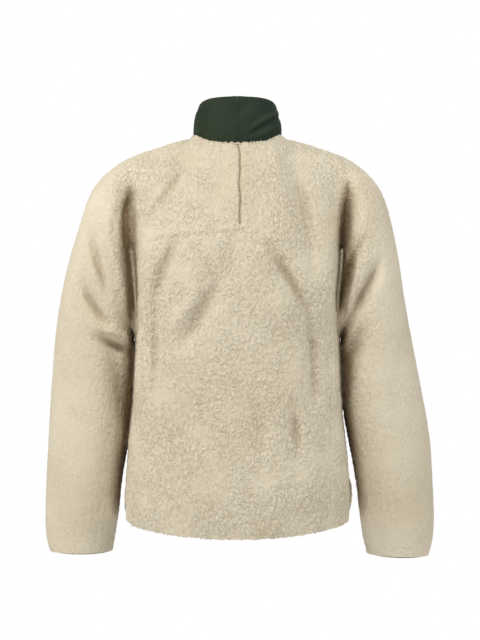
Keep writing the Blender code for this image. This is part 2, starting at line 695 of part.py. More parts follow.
# Start from an empty scene
for item in list(bpy.data.objects):
    bpy.data.objects.remove(item)
garment = bpy.data.collections.new("fleece_jacket")
bpy.context.scene.collection.children.link(garment)
cutters = bpy.data.collections.new("cutters")
bpy.context.scene.collection.children.link(cutters)

fleece = plain_material("fleece", FLEECE_COLOUR, 0.95)
woven = plain_material("woven", WOVEN_COLOUR, 0.7)
teeth = plain_material("teeth", TEETH_COLOUR, 0.45)
metal = plain_material("metal", METAL_COLOUR, 0.35, 0.9)

# The cloth, parted along its seams
cloth = smooth_cloth()
points, normals = mesh_arrays(cloth)
inner_points = points - normals * PILE_WALL
panel_of_face = [entry.value for entry in cloth.attributes["panel"].data]
for number, name in enumerate(PANELS):
    panel_wall(name, number, cloth, panel_of_face, points, normals, fleece)

# The open edges of the cloth: the neck, the hem and the cuffs
edge_keys = open_edges(cloth)
edge_points = sorted({corner for key in edge_keys for corner in key})
beside = {}
for key in cloth.edge_keys:
    beside.setdefault(key[0], set()).add(key[1])
    beside.setdefault(key[1], set()).add(key[0])


def loop_from(place, toward_left):
    """The open edge loop through the edge point nearest a place, and the points a row inside it."""
    nearest = min(edge_points, key=lambda corner: np.linalg.norm(points[corner] - place))
    loop = ordered_loop(edge_keys, nearest)
    if (points[loop[1]][0] > points[loop[0]][0]) != toward_left:
        loop = loop[:1] + loop[:0:-1]
    within = [next(near for near in beside[corner] if near not in loop) for corner in loop]
    return loop, within


# The stand collar: two halves that meet at the centre back
neck, _ = loop_from(np.array((0.0, NECK[0].back_y, NECK[0].back_z)), True)
collar = collar_sections(points[neck], inner_points[neck])
half_round = len(neck) // 2
for name, side, order in (("collar_left", 1, 1), ("collar_right", -1, -1)):
    sections = [collar[order * step % len(neck)] for step in range(half_round + 1)]
    sections[0] = at_x(sections[0], side * SEAM_GAP / 2)
    sections[-1] = at_x(sections[-1], side * ZIP_OPENING / 2)
    loft(sections, False, woven, name)

# The hem binding, from one zip tape round to the other, lowest at the side seams
hem, hem_within = loop_from(np.array((0.0, -TORSO[0].front, TORSO[0].z)), True)
sections = []
for step in range(1, len(hem)):
    corner = hem[step]
    off_side = abs(points[corner][1]) / HEM_CORNER_SPREAD
    peek = HEM_PEEK + (HEM_CORNER_PEEK - HEM_PEEK) * math.exp(-off_side**2)
    edge, above = inner_points[corner], inner_points[hem_within[step]]
    sections.append(binding_section(edge, above, -normals[corner], peek))
beyond_tape = points[hem[1]][0] + 2 * TAPE_CLEAR
sections[0] = at_x(sections[0], beyond_tape)
sections[-1] = at_x(sections[-1], -beyond_tape)
loft(sections, False, woven, "hem_binding")

# The cuff bindings
for name, side, table in (("cuff_binding_left", 1, SLEEVE_LEFT), ("cuff_binding_right", -1, SLEEVE_RIGHT)):
    end = table[-1]
    cuff, cuff_within = loop_from(np.array((side * end.out_x, end.middle_y, end.out_z)), True)
    sections = []
    for corner, above in zip(cuff, cuff_within):
        into = -normals[corner]
        sections.append(binding_section(inner_points[corner], inner_points[above], into, CUFF_PEEK))
    loft(sections, True, woven, name)

# The path of the zip: points of the inner face at the centre front and to its left and right
centre_front = [corner for corner in range(len(points)) if abs(points[corner][0]) < ON_CENTRE]
centre_front = [corner for corner in centre_front if points[corner][1] < 0]
centre_front.sort(key=lambda corner: points[corner][2])
zip_path = []
for corner in centre_front[:-1]:
    near = sorted(beside[corner], key=lambda place: points[place][0])
    zip_path.append((inner_points[corner], inner_points[near[-1]], inner_points[near[0]]))
inner_rows = range(2 * len(COLLAR_ROWS) - 1, len(COLLAR_ROWS) - 1, -1)
for row in inner_rows:
    zip_path.append([collar[half_round + turn][row] for turn in (0, -1, 1)])


def tape_section(centre, far, side):
    """Four points round the tape, which lies against the inner face beside the opening."""
    clear = np.array((0.0, TAPE_CLEAR, 0.0))
    wall = np.array((0.0, TAPE_WALL, 0.0))
    near = np.array((side * TAPE_INNER_X, centre[1], centre[2])) + clear
    return [near, far + clear, far + clear + wall, near + wall]


for name, side, place in (("zip_tape_left", 1, 1), ("zip_tape_right", -1, 2)):
    loft([tape_section(row[0], row[place], side) for row in zip_path], False, woven, name)


def path_y(z):
    """Where the inner face of the front lies at a height."""
    heights = [row[0][2] for row in zip_path]
    depths = [row[0][1] for row in zip_path]
    return float(np.interp(z, heights, depths))


# The chain of teeth between the bottom box and the slider
chain_low = zip_path[0][0][2] + BOX_SIZE[2] + SEAM_GAP
chain_high = SLIDER_Z - SLIDER_SIZE[2] / 2 - SEAM_GAP
chain_heights = [row[0][2] for row in zip_path if chain_low < row[0][2] < chain_high]
sections = []
for z in [chain_low] + chain_heights + [chain_high]:
    back_y = path_y(z) + TAPE_CLEAR - SEAM_GAP
    front_y = back_y - CHAIN_WALL
    corners = ((1, back_y), (1, front_y), (-1, front_y), (-1, back_y))
    sections.append([np.array((turn * CHAIN_HALF_WIDTH, y, z)) for turn, y in corners])
loft(sections, False, teeth, "zip_chain")

box_z = zip_path[0][0][2] + BOX_SIZE[2] / 2
box_y = path_y(box_z) + TAPE_CLEAR - SEAM_GAP - BOX_SIZE[1] / 2 - SEAM_GAP
box("zip_bottom_box", (0, box_y, box_z), BOX_SIZE, teeth, BOX_ROUNDING)

# The slider with its bail, and the stops over it
slider_back = path_y(SLIDER_Z + SLIDER_SIZE[2] / 2) + TAPE_CLEAR - SEAM_GAP
slider_back = min(slider_back, path_y(SLIDER_Z - SLIDER_SIZE[2] / 2) + TAPE_CLEAR - SEAM_GAP)
slider_y = slider_back - SLIDER_SIZE[1] / 2
slider_face = slider_back - SLIDER_SIZE[1]
slider = box("zip_slider", (0, slider_y, SLIDER_Z), SLIDER_SIZE, metal, SLIDER_ROUNDING)
axis_y = slider_face - AXIS_OFF_SLIDER
bail_reach = 2 * AXIS_OFF_SLIDER + BAIL_WIRE
outer_bail = [(-BAIL_HALF_HEIGHT, BAIL_ROOT), (BAIL_HALF_HEIGHT, BAIL_ROOT)]
outer_bail += [(BAIL_HALF_HEIGHT, -bail_reach * BAIL_CORNER), (BAIL_HALF_HEIGHT * BAIL_CORNER, -bail_reach)]
outer_bail += [(-BAIL_HALF_HEIGHT * BAIL_CORNER, -bail_reach), (-BAIL_HALF_HEIGHT, -bail_reach * BAIL_CORNER)]
bore_half = BAIL_HALF_HEIGHT - BAIL_WIRE
bore_reach = bail_reach - BAIL_WIRE
bore = [(-bore_half, -SEAM_GAP / 3), (bore_half, -SEAM_GAP / 3), (bore_half, -bore_reach * BORE_CORNER)]
bore += [(bore_half * BORE_CORNER, -bore_reach), (-bore_half * BORE_CORNER, -bore_reach)]
bore += [(-bore_half, -bore_reach * BORE_CORNER)]


def side_plate(name, outline, half_width, centre):
    """A plate in the YZ plane, cut from an outline of heights and depths."""
    parts = bmesh.new()
    near = [parts.verts.new((-half_width, centre[0] + y, centre[1] + z)) for z, y in outline]
    far = [parts.verts.new((half_width, centre[0] + y, centre[1] + z)) for z, y in outline]
    for step in range(len(outline)):
        after = (step + 1) % len(outline)
        parts.faces.new((near[step], near[after], far[after], far[step]))
    parts.faces.new(near)
    parts.faces.new(far[::-1])
    return finish(name, parts, metal)


bail = side_plate("bail_cutter", outer_bail, BAIL_HALF_WIDTH, (slider_face, SLIDER_Z))
hollow = side_plate("bail_bore_cutter", bore, BAIL_HALF_WIDTH * 2, (slider_face, SLIDER_Z))
for cutter in (bail, hollow):
    garment.objects.unlink(cutter)
    cutters.objects.link(cutter)
    cutter.hide_render = True
    cutter.display_type = "WIRE"
opened = bail.modifiers.new("opened", "BOOLEAN")
opened.operation = "DIFFERENCE"
opened.object = hollow
joined = slider.modifiers.new("bail", "BOOLEAN")
joined.operation = "UNION"
joined.object = bail

stop_z = SLIDER_Z + SLIDER_SIZE[2] / 2 + SEAM_GAP + STOP_SIZE[2] / 2
for name, side in (("zip_stop_left", 1), ("zip_stop_right", -1)):
    stop_x = side * (STOP_SIZE[0] / 2 + SEAM_GAP)
    box(name, (stop_x, slider_back - STOP_SIZE[1] / 2, stop_z), STOP_SIZE, metal, STOP_ROUNDING)

# The pull tab, hung on the bail by the bar over its eye
rim_low = TAB_HALF_WIDTH - TAB_LENGTH
tab_outline = arc((0, rim_low), TAB_HALF_WIDTH, 180, 360, 10)
tab_outline += [(TAB_SHOULDER, TAB_BAR - TAB_CHAMFER), (TAB_SHOULDER - TAB_CHAMFER, TAB_BAR)]
tab_outline += [(TAB_CHAMFER - TAB_SHOULDER, TAB_BAR), (-TAB_SHOULDER, TAB_BAR - TAB_CHAMFER)]
eye = [(-TAB_EYE_HALF_WIDTH, -TAB_BAR), (TAB_EYE_HALF_WIDTH, -TAB_BAR)]
eye += [(TAB_EYE_HALF_WIDTH, -TAB_EYE_LENGTH), (-TAB_EYE_HALF_WIDTH, -TAB_EYE_LENGTH)]
hole = arc((0, rim_low - TAB_HOLE_RADIUS / 3), TAB_HOLE_RADIUS, 0, 330, 11)
tab = outline_plate("zip_pull_tab", [tab_outline, eye, hole], TAB_WALL, metal)
tab.location = (0, axis_y, SLIDER_Z)

# The hand pockets
surface = BVHTree.FromPolygons(
    [Vector(point) for point in points], [tuple(face.vertices) for face in cloth.polygons]
)
for name, side, stand in (("left", 1, LIP_STAND_LEFT), ("right", -1, LIP_STAND_RIGHT)):
    line = pocket_line(surface, side)
    lip_shift = LIP_WIDTH / 2
    pocket_strip("pocket_lip_" + name, surface, line, fleece, LIP_WIDTH, stand, lip_shift)
    zip_shift = -MOUTH_WIDTH / 2 - 2 * SEAM_GAP
    pocket_strip("pocket_zip_" + name, surface, line, woven, MOUTH_WIDTH, MOUTH_WALL, zip_shift)
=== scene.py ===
"""The looks of the fleece jacket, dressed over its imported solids, in metres, +Z up, back to +Y."""

import math

import bmesh
import bpy
import numpy as np
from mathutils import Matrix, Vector
from mathutils.bvhtree import BVHTree
from mathutils.kdtree import KDTree


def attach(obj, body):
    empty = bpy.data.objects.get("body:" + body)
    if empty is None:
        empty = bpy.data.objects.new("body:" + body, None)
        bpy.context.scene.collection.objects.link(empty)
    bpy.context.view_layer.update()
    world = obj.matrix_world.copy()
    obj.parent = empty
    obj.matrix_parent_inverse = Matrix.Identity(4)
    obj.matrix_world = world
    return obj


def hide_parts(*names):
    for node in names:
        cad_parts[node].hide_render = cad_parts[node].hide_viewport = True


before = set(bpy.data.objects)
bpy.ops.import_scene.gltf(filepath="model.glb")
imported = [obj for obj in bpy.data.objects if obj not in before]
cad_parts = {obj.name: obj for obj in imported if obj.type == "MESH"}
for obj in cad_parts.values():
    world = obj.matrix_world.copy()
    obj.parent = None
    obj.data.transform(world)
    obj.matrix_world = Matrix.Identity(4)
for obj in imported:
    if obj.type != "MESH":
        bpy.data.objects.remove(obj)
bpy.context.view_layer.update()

# The studio: a white room with one broad soft light from above the camera, weaker ones from each
# side and one on the far side, the jacket's front. The camera stands level, straight behind.
CAMERA_PLACE = (-0.0046, 3.0, -0.32)
CAMERA_LENS = 91.0
BACKDROP = 1.0
ROOM_LIGHT = 0.42


def in_scene(item):
    """The same object, linked into the scene."""
    bpy.context.scene.collection.objects.link(item)
    return item


camera = in_scene(bpy.data.objects.new("camera", bpy.data.cameras.new("camera")))
camera.data.sensor_fit = "VERTICAL"
camera.data.sensor_height = 36.0
camera.data.lens = CAMERA_LENS
camera.data.clip_end = 50.0
camera.location = CAMERA_PLACE
camera.rotation_euler = (math.radians(90), 0, math.radians(180))
bpy.context.scene.camera = camera
bpy.context.scene.view_settings.view_transform = "Standard"

world = bpy.data.worlds.new("white_room")
bpy.context.scene.world = world
world.use_nodes = True
backdrop = world.node_tree.nodes["Background"]
seen = world.node_tree.nodes.new("ShaderNodeLightPath")
strength = world.node_tree.nodes.new("ShaderNodeMapRange")
world.node_tree.links.new(seen.outputs["Is Camera Ray"], strength.inputs["Value"])
strength.inputs["To Min"].default_value = ROOM_LIGHT
strength.inputs["To Max"].default_value = BACKDROP
world.node_tree.links.new(strength.outputs["Result"], backdrop.inputs["Strength"])
backdrop.inputs["Color"].default_value = (1, 1, 1, 1)


def soft_light(name, place, aim, size, watts, colour):
    """A square area light at place, turned to aim."""
    light = in_scene(bpy.data.objects.new(name, bpy.data.lights.new(name, "AREA")))
    light.data.size = size
    light.data.energy = watts
    light.data.color = colour
    light.location = place
    light.rotation_euler = (Vector(aim) - Vector(place)).to_track_quat("-Z", "Y").to_euler()


soft_light("key_light", (1.0, 2.1, 2.3), (0, 0, -0.30), 1.1, 56, (1.0, 0.985, 0.96))
soft_light("left_light", (2.3, 1.3, 0.5), (0, 0, -0.35), 1.1, 20, (1.0, 0.99, 0.97))
soft_light("right_light", (-2.3, 1.2, 0.5), (0, 0, -0.35), 1.1, 17, (0.98, 0.985, 1.0))
soft_light("front_light", (-0.5, -2.6, 1.3), (0, 0, -0.35), 1.6, 46, (1.0, 0.99, 0.97))

# The fleece: seven large pieces of one deep, curly pile on a knitted back, cut as back, fronts,
# yokes with their upper sleeves, and lower sleeves. They are sewn pile to pile, so their outer
# skins are joined here into one cloth before it is smoothed.
SKIN_TURN = math.radians(50)
ANY_TURN = 3.1
WELD = 0.000002
SEAM_REACH = 0.0013
FIT_ROUNDS = 4


def largest_skin(node):
    """The outer face of a solid's wall, as a bmesh of quads."""
    skin = bmesh.new()
    skin.from_mesh(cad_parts[node].data)
    bmesh.ops.remove_doubles(skin, verts=skin.verts, dist=WELD)
    seen, best, best_area = set(), [], 0.0
    for first in skin.faces:
        if first in seen:
            continue
        seen.add(first)
        todo, found = [first], []
        while todo:
            face = todo.pop()
            found.append(face)
            for edge in face.edges:
                if len(edge.link_faces) == 2 and edge.calc_face_angle() < SKIN_TURN:
                    for other in edge.link_faces:
                        if other not in seen:
                            seen.add(other)
                            todo.append(other)
        area = sum(face.calc_area() for face in found)
        if area > best_area:
            best, best_area = found, area
    keep = set(best)
    bmesh.ops.delete(skin, geom=[f for f in skin.faces if f not in keep], context="FACES")
    bmesh.ops.join_triangles(
        skin, faces=skin.faces, angle_face_threshold=ANY_TURN, angle_shape_threshold=ANY_TURN)
    return skin


def sewn_together(nodes):
    """The outer faces of several pieces as one mesh, joined at their seams and numbered by piece."""
    whole = bmesh.new()
    for number, node in enumerate(nodes):
        skin = largest_skin(node)
        place = {vert: whole.verts.new(vert.co) for vert in skin.verts}
        for face in skin.faces:
            made = whole.faces.new([place[vert] for vert in face.verts])
            made.material_index = number
            made.smooth = True
        skin.free()
    rim = [vert for vert in whole.verts if vert.is_boundary]
    bmesh.ops.remove_doubles(whole, verts=rim, dist=SEAM_REACH)
    mesh = bpy.data.meshes.new("sewn_cloth")
    for _ in nodes:
        mesh.materials.append(None)
    whole.to_mesh(mesh)
    whole.free()
    return mesh


def smoothed(mesh, levels):
    """A mesh's smooth surface after some divisions: points, their normals, quads and piece numbers."""
    item = in_scene(bpy.data.objects.new("smoothing", mesh))
    smooth = item.modifiers.new("smooth", "SUBSURF")
    smooth.levels = levels
    smooth.render_levels = levels
    smooth.use_limit_surface = True
    result = bpy.data.meshes.new_from_object(item.evaluated_get(bpy.context.evaluated_depsgraph_get()))
    count = len(result.vertices)
    points, normals = np.empty(count * 3), np.empty(count * 3)
    quads = np.empty(len(result.loops), dtype=np.int64)
    result.vertices.foreach_get("co", points)
    result.vertices.foreach_get("normal", normals)
    result.loops.foreach_get("vertex_index", quads)
    numbers = np.empty(len(result.polygons), dtype=np.int32)
    result.polygons.foreach_get("material_index", numbers)
    bpy.data.objects.remove(item)
    bpy.data.meshes.remove(result)
    return points.reshape(-1, 3), normals.reshape(-1, 3), quads.reshape(-1, 4), numbers


def fit_through(mesh):
    """Moves a mesh's points until its smooth surface passes through where they were."""
    count = len(mesh.vertices)
    goal = np.empty(count * 3)
    mesh.vertices.foreach_get("co", goal)
    goal = goal.reshape(-1, 3)
    cage = goal.copy()
    for _ in range(FIT_ROUNDS):
        points = smoothed(mesh, 1)[0][:count]
        cage += goal - points
        mesh.vertices.foreach_set("co", cage.ravel())
        mesh.update()


def sides_of(quads):
    """The sides of every quad, four to a quad, as pairs of points."""
    return np.stack((quads, np.roll(quads, -1, axis=1)), axis=2).reshape(-1, 2)


def divided(values, quads, parts):
    """Each quad cut into parts by parts, with every column of values drawn straight between points."""
    edges, which = np.unique(np.sort(sides_of(quads), axis=1), axis=0, return_inverse=True)
    which = which.reshape(len(quads), 4)
    inner = parts - 1
    steps = np.arange(inner)
    shares = np.arange(1, parts) / parts
    start, end = (values[edges[:, corner], None] for corner in range(2))
    along = start * (1 - shares)[None, :, None] + end * shares[None, :, None]
    grid = np.empty((len(quads), parts + 1, parts + 1), dtype=np.int64)
    grid[:, 0, 0], grid[:, parts, 0], grid[:, parts, parts], grid[:, 0, parts] = quads.T
    up, down = slice(1, parts), slice(parts - 1, 0, -1)
    for side, (row, column) in enumerate(((up, 0), (parts, up), (down, parts), (0, down))):
        forward = quads[:, side] < quads[:, (side + 1) % 4]
        order = np.where(forward[:, None], steps, inner - 1 - steps)
        grid[:, row, column] = len(values) + which[:, side, None] * inner + order
    u, v = shares[:, None, None], shares[None, :, None]
    a, b, c, d = (values[quads[:, corner]][:, None, None, :] for corner in range(4))
    middle = a * (1 - u) * (1 - v) + b * u * (1 - v) + c * u * v + d * (1 - u) * v
    cells = np.arange(len(quads) * inner * inner).reshape(-1, inner, inner)
    grid[:, 1:parts, 1:parts] = len(values) + len(edges) * inner + cells
    columns = values.shape[1]
    everything = np.concatenate((values, along.reshape(-1, columns), middle.reshape(-1, columns)))
    small = np.stack((grid[:, :-1, :-1], grid[:, 1:, :-1], grid[:, 1:, 1:], grid[:, :-1, 1:]), axis=3)
    return everything, small.reshape(-1, 4)


def rim_order(quads):
    """For each point on the open edge of a mesh of quads, the next one along that edge."""
    sides = sides_of(quads)
    key = sides.min(axis=1) * (quads.max() + 1) + sides.max(axis=1)
    _, first, count = np.unique(key, return_index=True, return_counts=True)
    return {int(a): int(b) for a, b in sides[first[count == 1]]}


def nearest_of(points):
    """A finder for the nearest of some points."""
    finder = KDTree(len(points))
    for number, point in enumerate(points):
        finder.insert(point, number)
    finder.balance()
    return finder


# The creases that are finer than the solids' own folds: start, turn and end of each on the flat
# (x, z), the face that it is on (1 is the back), its width to each side and its depth. A negative
# depth is a ridge.
CREASES = (
    # the crevices at the back of the armholes and the pits under them
    (0.194, -0.084, 0.224, -0.146, 0.190, -0.236, 1, 0.0052, 0.0120),
    (0.205, -0.100, 0.238, -0.150, 0.210, -0.212, 1, 0.0085, 0.0060),
    (0.180, -0.096, 0.205, -0.146, 0.184, -0.200, 1, 0.0070, -0.0035),
    (0.206, -0.160, 0.190, -0.222, 0.184, -0.300, 1, 0.0072, 0.0070),
    (0.212, -0.190, 0.200, -0.240, 0.194, -0.290, 1, 0.0070, 0.0050),
    (0.190, -0.282, 0.203, -0.303, 0.192, -0.326, 1, 0.0090, 0.0100),
    (-0.2040, -0.060, -0.2010, -0.130, -0.1880, -0.225, 1, 0.0052, 0.0110),
    (-0.2140, -0.076, -0.2120, -0.130, -0.1960, -0.196, 1, 0.0085, 0.0055),
    (-0.1890, -0.078, -0.1850, -0.126, -0.1720, -0.190, 1, 0.0070, -0.0030),
    (-0.1925, -0.160, -0.1895, -0.225, -0.1865, -0.300, 1, 0.0066, 0.0070),
    (-0.2270, -0.174, -0.2000, -0.2300, -0.1830, -0.296, 1, 0.0060, 0.0125),
    # the sleeves' drag lines toward the underarm
    (0.268, -0.160, 0.252, -0.222, 0.236, -0.272, 1, 0.0080, 0.0080),
    (0.282, -0.252, 0.262, -0.304, 0.228, -0.332, 1, 0.0070, 0.0087),
    (0.254, -0.352, 0.228, -0.364, 0.202, -0.376, 1, 0.0080, 0.0094),
    (0.262, -0.328, 0.226, -0.345, 0.198, -0.352, 1, 0.0070, -0.0051),
    (0.232, -0.372, 0.216, -0.440, 0.206, -0.520, 1, 0.0150, 0.0101),
    (-0.262, -0.205, -0.236, -0.250, -0.212, -0.290, 1, 0.0060, 0.0072),
    (-0.257, -0.228, -0.228, -0.285, -0.196, -0.332, 1, 0.0080, 0.0080),
    (-0.226, -0.335, -0.205, -0.400, -0.200, -0.468, 1, 0.0140, 0.0116),
    (-0.208, -0.300, -0.195, -0.325, -0.188, -0.340, 1, 0.0060, -0.0043),
    # the yoke
    (0.100, -0.050, 0.126, -0.092, 0.152, -0.136, 1, 0.0060, 0.0051),
    (0.118, -0.052, 0.142, -0.088, 0.166, -0.122, 1, 0.0090, -0.0036),
    (0.022, -0.055, 0.045, -0.102, 0.098, -0.155, 1, 0.0180, 0.0043),
    (-0.106, -0.060, -0.124, -0.128, -0.136, -0.232, 1, 0.0070, 0.0051),
    (-0.124, -0.066, -0.142, -0.120, -0.150, -0.170, 1, 0.0090, -0.0036),
    # the yoke seam, where the pile of both sides stands up
    (0.172, -0.1720, 0.112, -0.1690, 0.060, -0.1595, 1, 0.0064, -0.0016),
    (0.066, -0.1605, 0.030, -0.1565, 0.002, -0.1585, 1, 0.0064, -0.0016),
    (-0.012, -0.1700, -0.056, -0.1740, -0.104, -0.1810, 1, 0.0064, -0.0016),
    (-0.096, -0.1805, -0.132, -0.1860, -0.168, -0.1900, 1, 0.0064, -0.0016),
    (0.166, -0.1800, 0.110, -0.1770, 0.058, -0.1675, 1, 0.0056, 0.0013),
    (0.060, -0.1685, 0.030, -0.1645, 0.004, -0.1665, 1, 0.0056, 0.0013),
    (-0.014, -0.1780, -0.058, -0.1820, -0.104, -0.1885, 1, 0.0056, 0.0013),
    (-0.098, -0.1885, -0.130, -0.1935, -0.164, -0.1975, 1, 0.0056, 0.0013),
    # the back
    (0.102, -0.172, 0.132, -0.212, 0.144, -0.275, 1, 0.0090, 0.0072),
    (0.145, -0.260, 0.148, -0.340, 0.149, -0.440, 1, 0.0070, 0.0051),
    (0.035, -0.250, 0.066, -0.315, 0.116, -0.380, 1, 0.0130, 0.0065),
    (0.060, -0.262, 0.092, -0.300, 0.130, -0.345, 1, 0.0110, -0.0043),
    (0.004, -0.172, 0.012, -0.200, 0.018, -0.240, 1, 0.0120, 0.0036),
    (-0.057, -0.190, -0.092, -0.246, -0.126, -0.305, 1, 0.0090, 0.0080),
    (-0.124, -0.296, -0.139, -0.375, -0.138, -0.475, 1, 0.0075, 0.0065),
    (-0.097, -0.468, -0.103, -0.505, -0.108, -0.560, 1, 0.0075, 0.0058),
    (0.062, -0.440, 0.066, -0.500, 0.058, -0.560, 1, 0.0120, 0.0036),
    (-0.042, -0.450, -0.038, -0.520, -0.046, -0.580, 1, 0.0120, 0.0036),
    # fine veins down both sides of the back
    (0.166, -0.196, 0.171, -0.222, 0.165, -0.246, 1, 0.0026, 0.0022),
    (0.175, -0.228, 0.170, -0.254, 0.176, -0.288, 1, 0.0026, 0.0024),
    (0.162, -0.252, 0.166, -0.282, 0.160, -0.306, 1, 0.0024, 0.0020),
    (0.171, -0.300, 0.177, -0.330, 0.169, -0.366, 1, 0.0028, 0.0024),
    (0.160, -0.322, 0.156, -0.352, 0.163, -0.384, 1, 0.0024, 0.0021),
    (0.178, -0.362, 0.172, -0.392, 0.179, -0.420, 1, 0.0026, 0.0022),
    (0.166, -0.398, 0.171, -0.436, 0.164, -0.470, 1, 0.0028, 0.0024),
    (0.155, -0.420, 0.152, -0.452, 0.158, -0.486, 1, 0.0025, 0.0020),
    (0.176, -0.450, 0.181, -0.484, 0.174, -0.520, 1, 0.0026, 0.0021),
    (0.162, -0.492, 0.168, -0.528, 0.160, -0.566, 1, 0.0027, 0.0022),
    (-0.152, -0.186, -0.157, -0.214, -0.150, -0.240, 1, 0.0026, 0.0022),
    (-0.164, -0.206, -0.158, -0.236, -0.166, -0.268, 1, 0.0026, 0.0024),
    (-0.152, -0.256, -0.148, -0.288, -0.155, -0.312, 1, 0.0025, 0.0021),
    (-0.163, -0.284, -0.168, -0.318, -0.161, -0.350, 1, 0.0028, 0.0025),
    (-0.150, -0.328, -0.155, -0.360, -0.148, -0.392, 1, 0.0025, 0.0022),
    (-0.166, -0.366, -0.160, -0.402, -0.167, -0.438, 1, 0.0027, 0.0024),
    (-0.152, -0.406, -0.158, -0.440, -0.150, -0.478, 1, 0.0026, 0.0022),
    (-0.169, -0.446, -0.163, -0.482, -0.170, -0.520, 1, 0.0027, 0.0022),
    (-0.154, -0.494, -0.150, -0.528, -0.158, -0.560, 1, 0.0025, 0.0021),
    # the front, in the same way
    (0.196, -0.092, 0.212, -0.140, 0.196, -0.205, -1, 0.0095, 0.0110),
    (-0.199, -0.080, -0.205, -0.134, -0.190, -0.205, -1, 0.0090, 0.0110),
    (0.198, -0.196, 0.194, -0.246, 0.190, -0.300, -1, 0.0080, 0.0095),
    (-0.192, -0.196, -0.188, -0.250, -0.186, -0.300, -1, 0.0080, 0.0095),
    (0.282, -0.180, 0.252, -0.248, 0.214, -0.300, -1, 0.0080, 0.0087),
    (-0.276, -0.176, -0.244, -0.236, -0.206, -0.296, -1, 0.0080, 0.0087),
    (0.300, -0.300, 0.256, -0.352, 0.206, -0.372, -1, 0.0080, 0.0080),
    (-0.296, -0.330, -0.256, -0.372, -0.204, -0.392, -1, 0.0085, 0.0080),
    (0.070, -0.140, 0.112, -0.186, 0.150, -0.262, -1, 0.0090, 0.0065),
    (-0.064, -0.150, -0.104, -0.200, -0.142, -0.282, -1, 0.0095, 0.0065),
    (0.034, -0.240, 0.080, -0.302, 0.136, -0.342, -1, 0.0110, 0.0058),
    (-0.040, -0.284, -0.084, -0.334, -0.132, -0.368, -1, 0.0110, 0.0058),
    (0.148, -0.300, 0.152, -0.390, 0.146, -0.470, -1, 0.0080, 0.0051),
    (-0.146, -0.310, -0.142, -0.400, -0.148, -0.480, -1, 0.0080, 0.0051),
    (0.096, -0.440, 0.082, -0.520, 0.090, -0.600, -1, 0.0110, 0.0043),
    (-0.104, -0.450, -0.092, -0.530, -0.082, -0.610, -1, 0.0110, 0.0043),
    (0.168, -0.210, 0.173, -0.240, 0.166, -0.270, -1, 0.0027, 0.0022),
    (0.160, -0.290, 0.165, -0.325, 0.158, -0.356, -1, 0.0027, 0.0022),
    (0.172, -0.350, 0.166, -0.390, 0.173, -0.430, -1, 0.0027, 0.0022),
    (0.160, -0.440, 0.165, -0.480, 0.157, -0.516, -1, 0.0027, 0.0022),
    (-0.160, -0.200, -0.165, -0.232, -0.158, -0.262, -1, 0.0027, 0.0022),
    (-0.168, -0.270, -0.162, -0.310, -0.169, -0.346, -1, 0.0027, 0.0022),
    (-0.158, -0.350, -0.164, -0.386, -0.156, -0.424, -1, 0.0027, 0.0022),
    (-0.170, -0.430, -0.163, -0.470, -0.171, -0.510, -1, 0.0027, 0.0022),
)
CREASE_STEPS = 20
CREASE_END = 0.03
CREASE_REACH = 3
FACED_AWAY = -0.1
FACED_SHARPLY = 8


def crease_depth(points, normals, table=CREASES):
    """How deep each point lies in the creases of a table, and how far that is toward +Y."""
    depth, forward = np.zeros(len(points)), np.zeros(len(points))
    flat = points[:, [0, 2]]
    for x1, z1, x2, z2, x3, z3, facing, width, sink in table:
        low = np.array((min(x1, x2, x3), min(z1, z2, z3))) - CREASE_REACH * width
        high = np.array((max(x1, x2, x3), max(z1, z2, z3))) + CREASE_REACH * width
        within = ((flat > low) & (flat < high)).all(axis=1)
        near = np.flatnonzero(within & (normals[:, 1] * facing > FACED_AWAY))
        if not len(near):
            continue
        closest = np.full(len(near), np.inf)
        place = np.zeros(len(near))
        for step in range(CREASE_STEPS + 1):
            share = step / CREASE_STEPS
            x = x1 * (1 - share) ** 2 + x2 * 2 * share * (1 - share) + x3 * share**2
            z = z1 * (1 - share) ** 2 + z2 * 2 * share * (1 - share) + z3 * share**2
            away = np.hypot(flat[near, 0] - x, flat[near, 1] - z)
            place = np.where(away < closest, share, place)
            closest = np.minimum(closest, away)
        taper = np.sqrt(np.sin(np.pi * (CREASE_END + (1 - 2 * CREASE_END) * place)))
        facing_it = np.clip(normals[near, 1] * facing * FACED_SHARPLY + 1, 0, 1)
        found = sink * np.exp(-((closest / width) ** 2)) * taper * facing_it
        depth[near] += found
        forward[near] -= found * facing
    return depth, forward


# Where the sleeves hang against the body: the pile of both swells there and closes the gap between
# them, down from a little below the armhole.
TOUCH_HIGH_Z = -0.352
TOUCH_LOW_Z = (-0.545, -0.470)
TOUCH_X = (0.172, 0.216)
TOUCH_SWELL = 0.0024
TOUCH_FADE = 0.018
TOUCH_TURN = 3
TOUCH_LEAST = 1.2


def swell(points, normals):
    """How far each point of the cloth stands out where sleeve and body touch."""
    x, z = np.abs(points[:, 0]), points[:, 2]
    low_z = np.where(points[:, 0] > 0, TOUCH_LOW_Z[0], TOUCH_LOW_Z[1])
    fade = np.clip((TOUCH_HIGH_Z - z) / TOUCH_FADE + 1, 0, 1)
    fade = fade * np.clip((z - low_z) / TOUCH_FADE + 1, 0, 1)
    between = (x > TOUCH_X[0]) & (x < TOUCH_X[1])
    sideways = np.clip(np.abs(normals[:, 0]) * TOUCH_TURN - TOUCH_LEAST, 0, 1)
    return TOUCH_SWELL * fade * between * sideways


# The centre back seam between the two yokes isn't sewn dead straight: it lies a little to the right
# of the middle and wanders.
SEAM_SHIFT = -0.0042
SEAM_WAVE = 0.0014
SEAM_WAVES = (105, 31)
SEAM_SPREAD = 0.026
SEAM_HEAD_FADE = 0.02
SEAM_END_Z = -0.30
SEAM_END_FADE = 0.12


